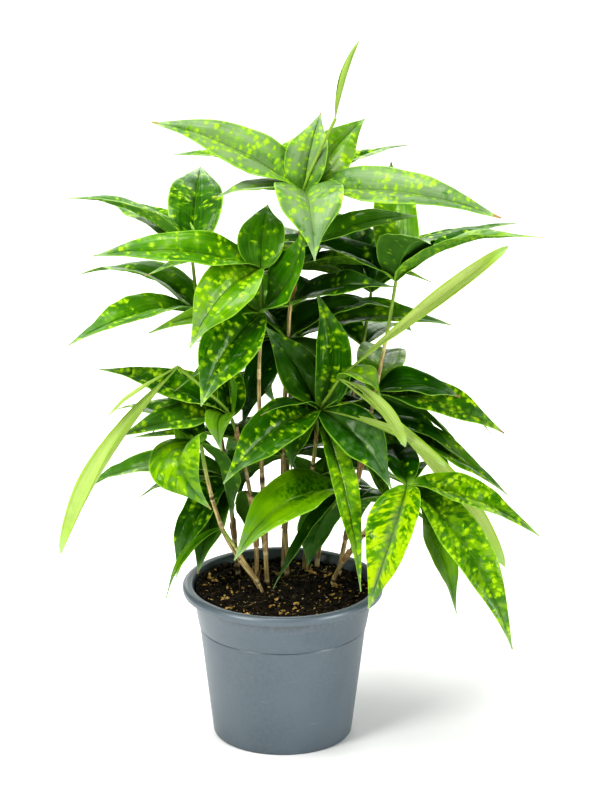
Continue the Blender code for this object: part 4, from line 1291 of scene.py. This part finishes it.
def smooth_path(path):
    """Points along a shoot: its first run stays straight, and the rest is a smooth curve."""
    points = [Vector(point) for point in path]
    tangents = [points[1] - points[0]]
    tangents += [(after - before) / 2 for before, after in zip(points, points[2:])]
    tangents.append(points[-1] - points[-2])
    run = [points[0]]
    for index, (start, end) in enumerate(zip(points, points[1:])):
        for share in (step / CANE_STEPS for step in range(1, CANE_STEPS + 1)):
            square, cube = share**2, share**3
            curved = (
                (2 * cube - 3 * square + 1) * start + (cube - 2 * square + share) * tangents[index]
                + (3 * square - 2 * cube) * end + (cube - square) * tangents[index + 1]
            )
            run.append(curved if index else start.lerp(end, share))
    return run


def ring_places(total, rng):
    places, at = [], rng.uniform(*FIRST_RING_MM)
    while at < total - RING_FREE_TIP_MM:
        places.append(at)
        at += rng.uniform(*RING_SPACING_MM)
    return places


def path_frames(run):
    """For each point of a run: the distance so far, and three directions: two across, one along."""
    frames, so_far = [], 0.0
    side = (run[1] - run[0]).orthogonal().normalized()
    for index, point in enumerate(run):
        before, after = run[max(0, index - 1)], run[min(len(run) - 1, index + 1)]
        tangent = (after - before).normalized()
        side = (side - side.dot(tangent) * tangent).normalized()
        so_far += (point - before).length
        frames.append((point, so_far, side, tangent.cross(side), tangent))
    return frames


def put_on_cane(vert, layers, centre, sides, turn, radius, height, shape):
    """Moves a vertex to the skin of a cane, and notes where it is for the finishes."""
    vert.co = (centre + around(*sides, turn) * radius) * MM
    vert[layers["place"]] = (cos(turn) * GRAIN_RADIUS, sin(turn) * GRAIN_RADIUS, height)
    vert[layers["shape"]] = shape


def add_cane(bm, layers, shoot, seed, green_from):
    rng = random.Random(seed)
    frames = path_frames(smooth_path(shoot.path))
    total = frames[-1][1]
    rings = ring_places(total, rng)
    first = len(bm.verts), len(bm.faces)
    for vert, across, up in flat_grid(bm, CANE_SIDES, len(frames) - 1):
        turn = (across + 1) * pi
        point, so_far, *sides, _ = frames[round(up * (len(frames) - 1))]
        share = so_far / total
        near = min((abs(so_far - place) for place in rings), default=99.0)
        ring = exp(-((near / RING_HALF_WIDTH) ** 2))
        lumpy = 1 + LUMPINESS * noise.noise(point / LUMP_SIZE + sides[0] * cos(turn))
        radius = between(*shoot.radii, share) * (lumpy * (1 + RING_SWELL * ring))
        height, shape = so_far + seed * CANE_GRAIN_STEP, (turn / tau, share, ring)
        put_on_cane(vert, layers, point, sides, turn, radius, height, shape)
        green = smooth(share, green_from - GREEN_BEFORE, green_from + GREEN_AFTER)
        vert[layers["look"]] = (green, 0, 0)
    close_tube(bm, *first, CANE)
    return frames, rings


print("canes have", CANE_SIDES, "sides")

# %% [markdown]
# ## Dry sheaths
# A dry sheath wraps a cane from one of its rings upward. It is a short open sleeve that leaves the
# cane a little at its torn top, where it ends in a point on one side.

# %% The sheath builder
SHEATH_COLUMNS, SHEATH_ROWS, SHEATH_THICKNESS = 12, 7, 0.16
OPENING, FLARE, LOWER_SIDES, TORN, TEARS = (0.6, 1.1), (0.5, 1.5), 0.55, 0.06, 23
LOOSENESS, LOOSE_BY = 1.1, 0.25


def add_sheath(bm, layers, shoot, frames, start, length, seed):
    rng = random.Random(seed)
    total = frames[-1][1]
    opening = rng.uniform(*OPENING)
    facing, flare = rng.uniform(0, tau), rng.uniform(*FLARE)
    first_face = len(bm.faces)
    for vert, across, up in flat_grid(bm, SHEATH_COLUMNS, SHEATH_ROWS):
        peak = 1 - LOWER_SIDES * abs(across) ** 1.4 + TORN * sin(across * TEARS + seed)
        so_far = min(total, start + up * length * peak)
        nearest = min(frames, key=lambda entry: abs(entry[1] - so_far))
        point, reached, *sides, tangent = nearest
        turn = facing + across * (pi - opening / 2)
        radius = between(*shoot.radii, so_far / total) * LOOSENESS + LOOSE_BY
        radius += flare * up**2.5 * (0.6 + 0.4 * cos(across * 5 + seed))
        centre, height = point + tangent * (so_far - reached), so_far + seed * SHEATH_GRAIN_STEP
        put_on_cane(vert, layers, centre, sides, turn, radius, height, (across, up, 0))
    sheet = since(bm.faces, first_face)
    bmesh.ops.solidify(bm, geom=sheet, thickness=SHEATH_THICKNESS * MM)
    turn_outward(bm, first_face, SHEATH)


print("a sheath has", SHEATH_COLUMNS * SHEATH_ROWS, "faces a side")

# %% [markdown]
# ## Growing the whole plant
# Each stem becomes one piece: its canes, their sheaths and its leaves, which takes the place of
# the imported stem. The young stalks that carry pale leaves are green almost from their foot.

# %% Grow every stem
STEM_FINISHES = (leaf_upper, leaf_under, young_leaf, cane_bark, dry_sheath)
GREEN_FROM = {"stem_left_mid": 0.62, "stem_centre": 0.70, "stem_tall": 0.80}
USUAL_GREEN_FROM = 0.85
SHEATHS_FROM_MM, SHEATHS_UP_TO, SHEATH_CHANCE, SHEATH_LENGTH = 34, 0.72, 0.4, (9, 18)
SHEATHS_SEED = 500
for order, (name, shoots) in enumerate(STEMS.items()):
    bm = bmesh.new()
    kinds = ("place", "shape", "look", "habit")
    layers = {kind: bm.verts.layers.float_vector.new(kind) for kind in kinds}
    for number, shoot in enumerate(shoots):
        seed = order * 10 + number + 1
        green_from = GREEN_FROM.get(name, USUAL_GREEN_FROM)
        frames, rings = add_cane(bm, layers, shoot, seed, green_from)
        rng = random.Random(seed + SHEATHS_SEED)
        for ring in rings:
            woody = SHEATHS_FROM_MM < ring < SHEATHS_UP_TO * frames[-1][1]
            if woody and rng.random() < SHEATH_CHANCE:
                length = rng.uniform(*SHEATH_LENGTH)
                add_sheath(bm, layers, shoot, frames, ring - 1.0, length, seed * 40 + int(ring))
    for number, (stem, base, blade) in enumerate(grown):
        if stem == name:
            add_leaf(bm, layers, base, blade, number + 1)
    hand_over(finish_piece(bm, "leafy_" + name, 60, *STEM_FINISHES), name)

# %% [markdown]
# ## Floor finish
# The floor is a matt pale sheet. A very faint noise keeps it from looking like an empty number.

# %% Finish the floor
FLOOR_PALE, FLOOR_PALER = (0.86, 0.86, 0.86), (0.89, 0.89, 0.89)
floor_sheet, tree, shader = new_finish("floor_sheet", Roughness=0.9, Specular_IOR_Level=0.2)
broad, _, _ = use_group(uneven, object_place(tree), 2.0)
set_sockets(shader, Base_Color=blended(broad, FLOOR_PALE, FLOOR_PALER))
floor.data.materials.append(floor_sheet)
print("floor finish:", floor_sheet.name)

# %% [markdown]
# ## Sizes, and the end
# The looks mustn't change the plant's size, so the box of the dressed scene is printed.

# %% Print the dressed box
DRESSED_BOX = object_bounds()
rounded = [tuple(round(value, 4) for value in corner) for corner in DRESSED_BOX]
print("dressed box in metres:", rounded)
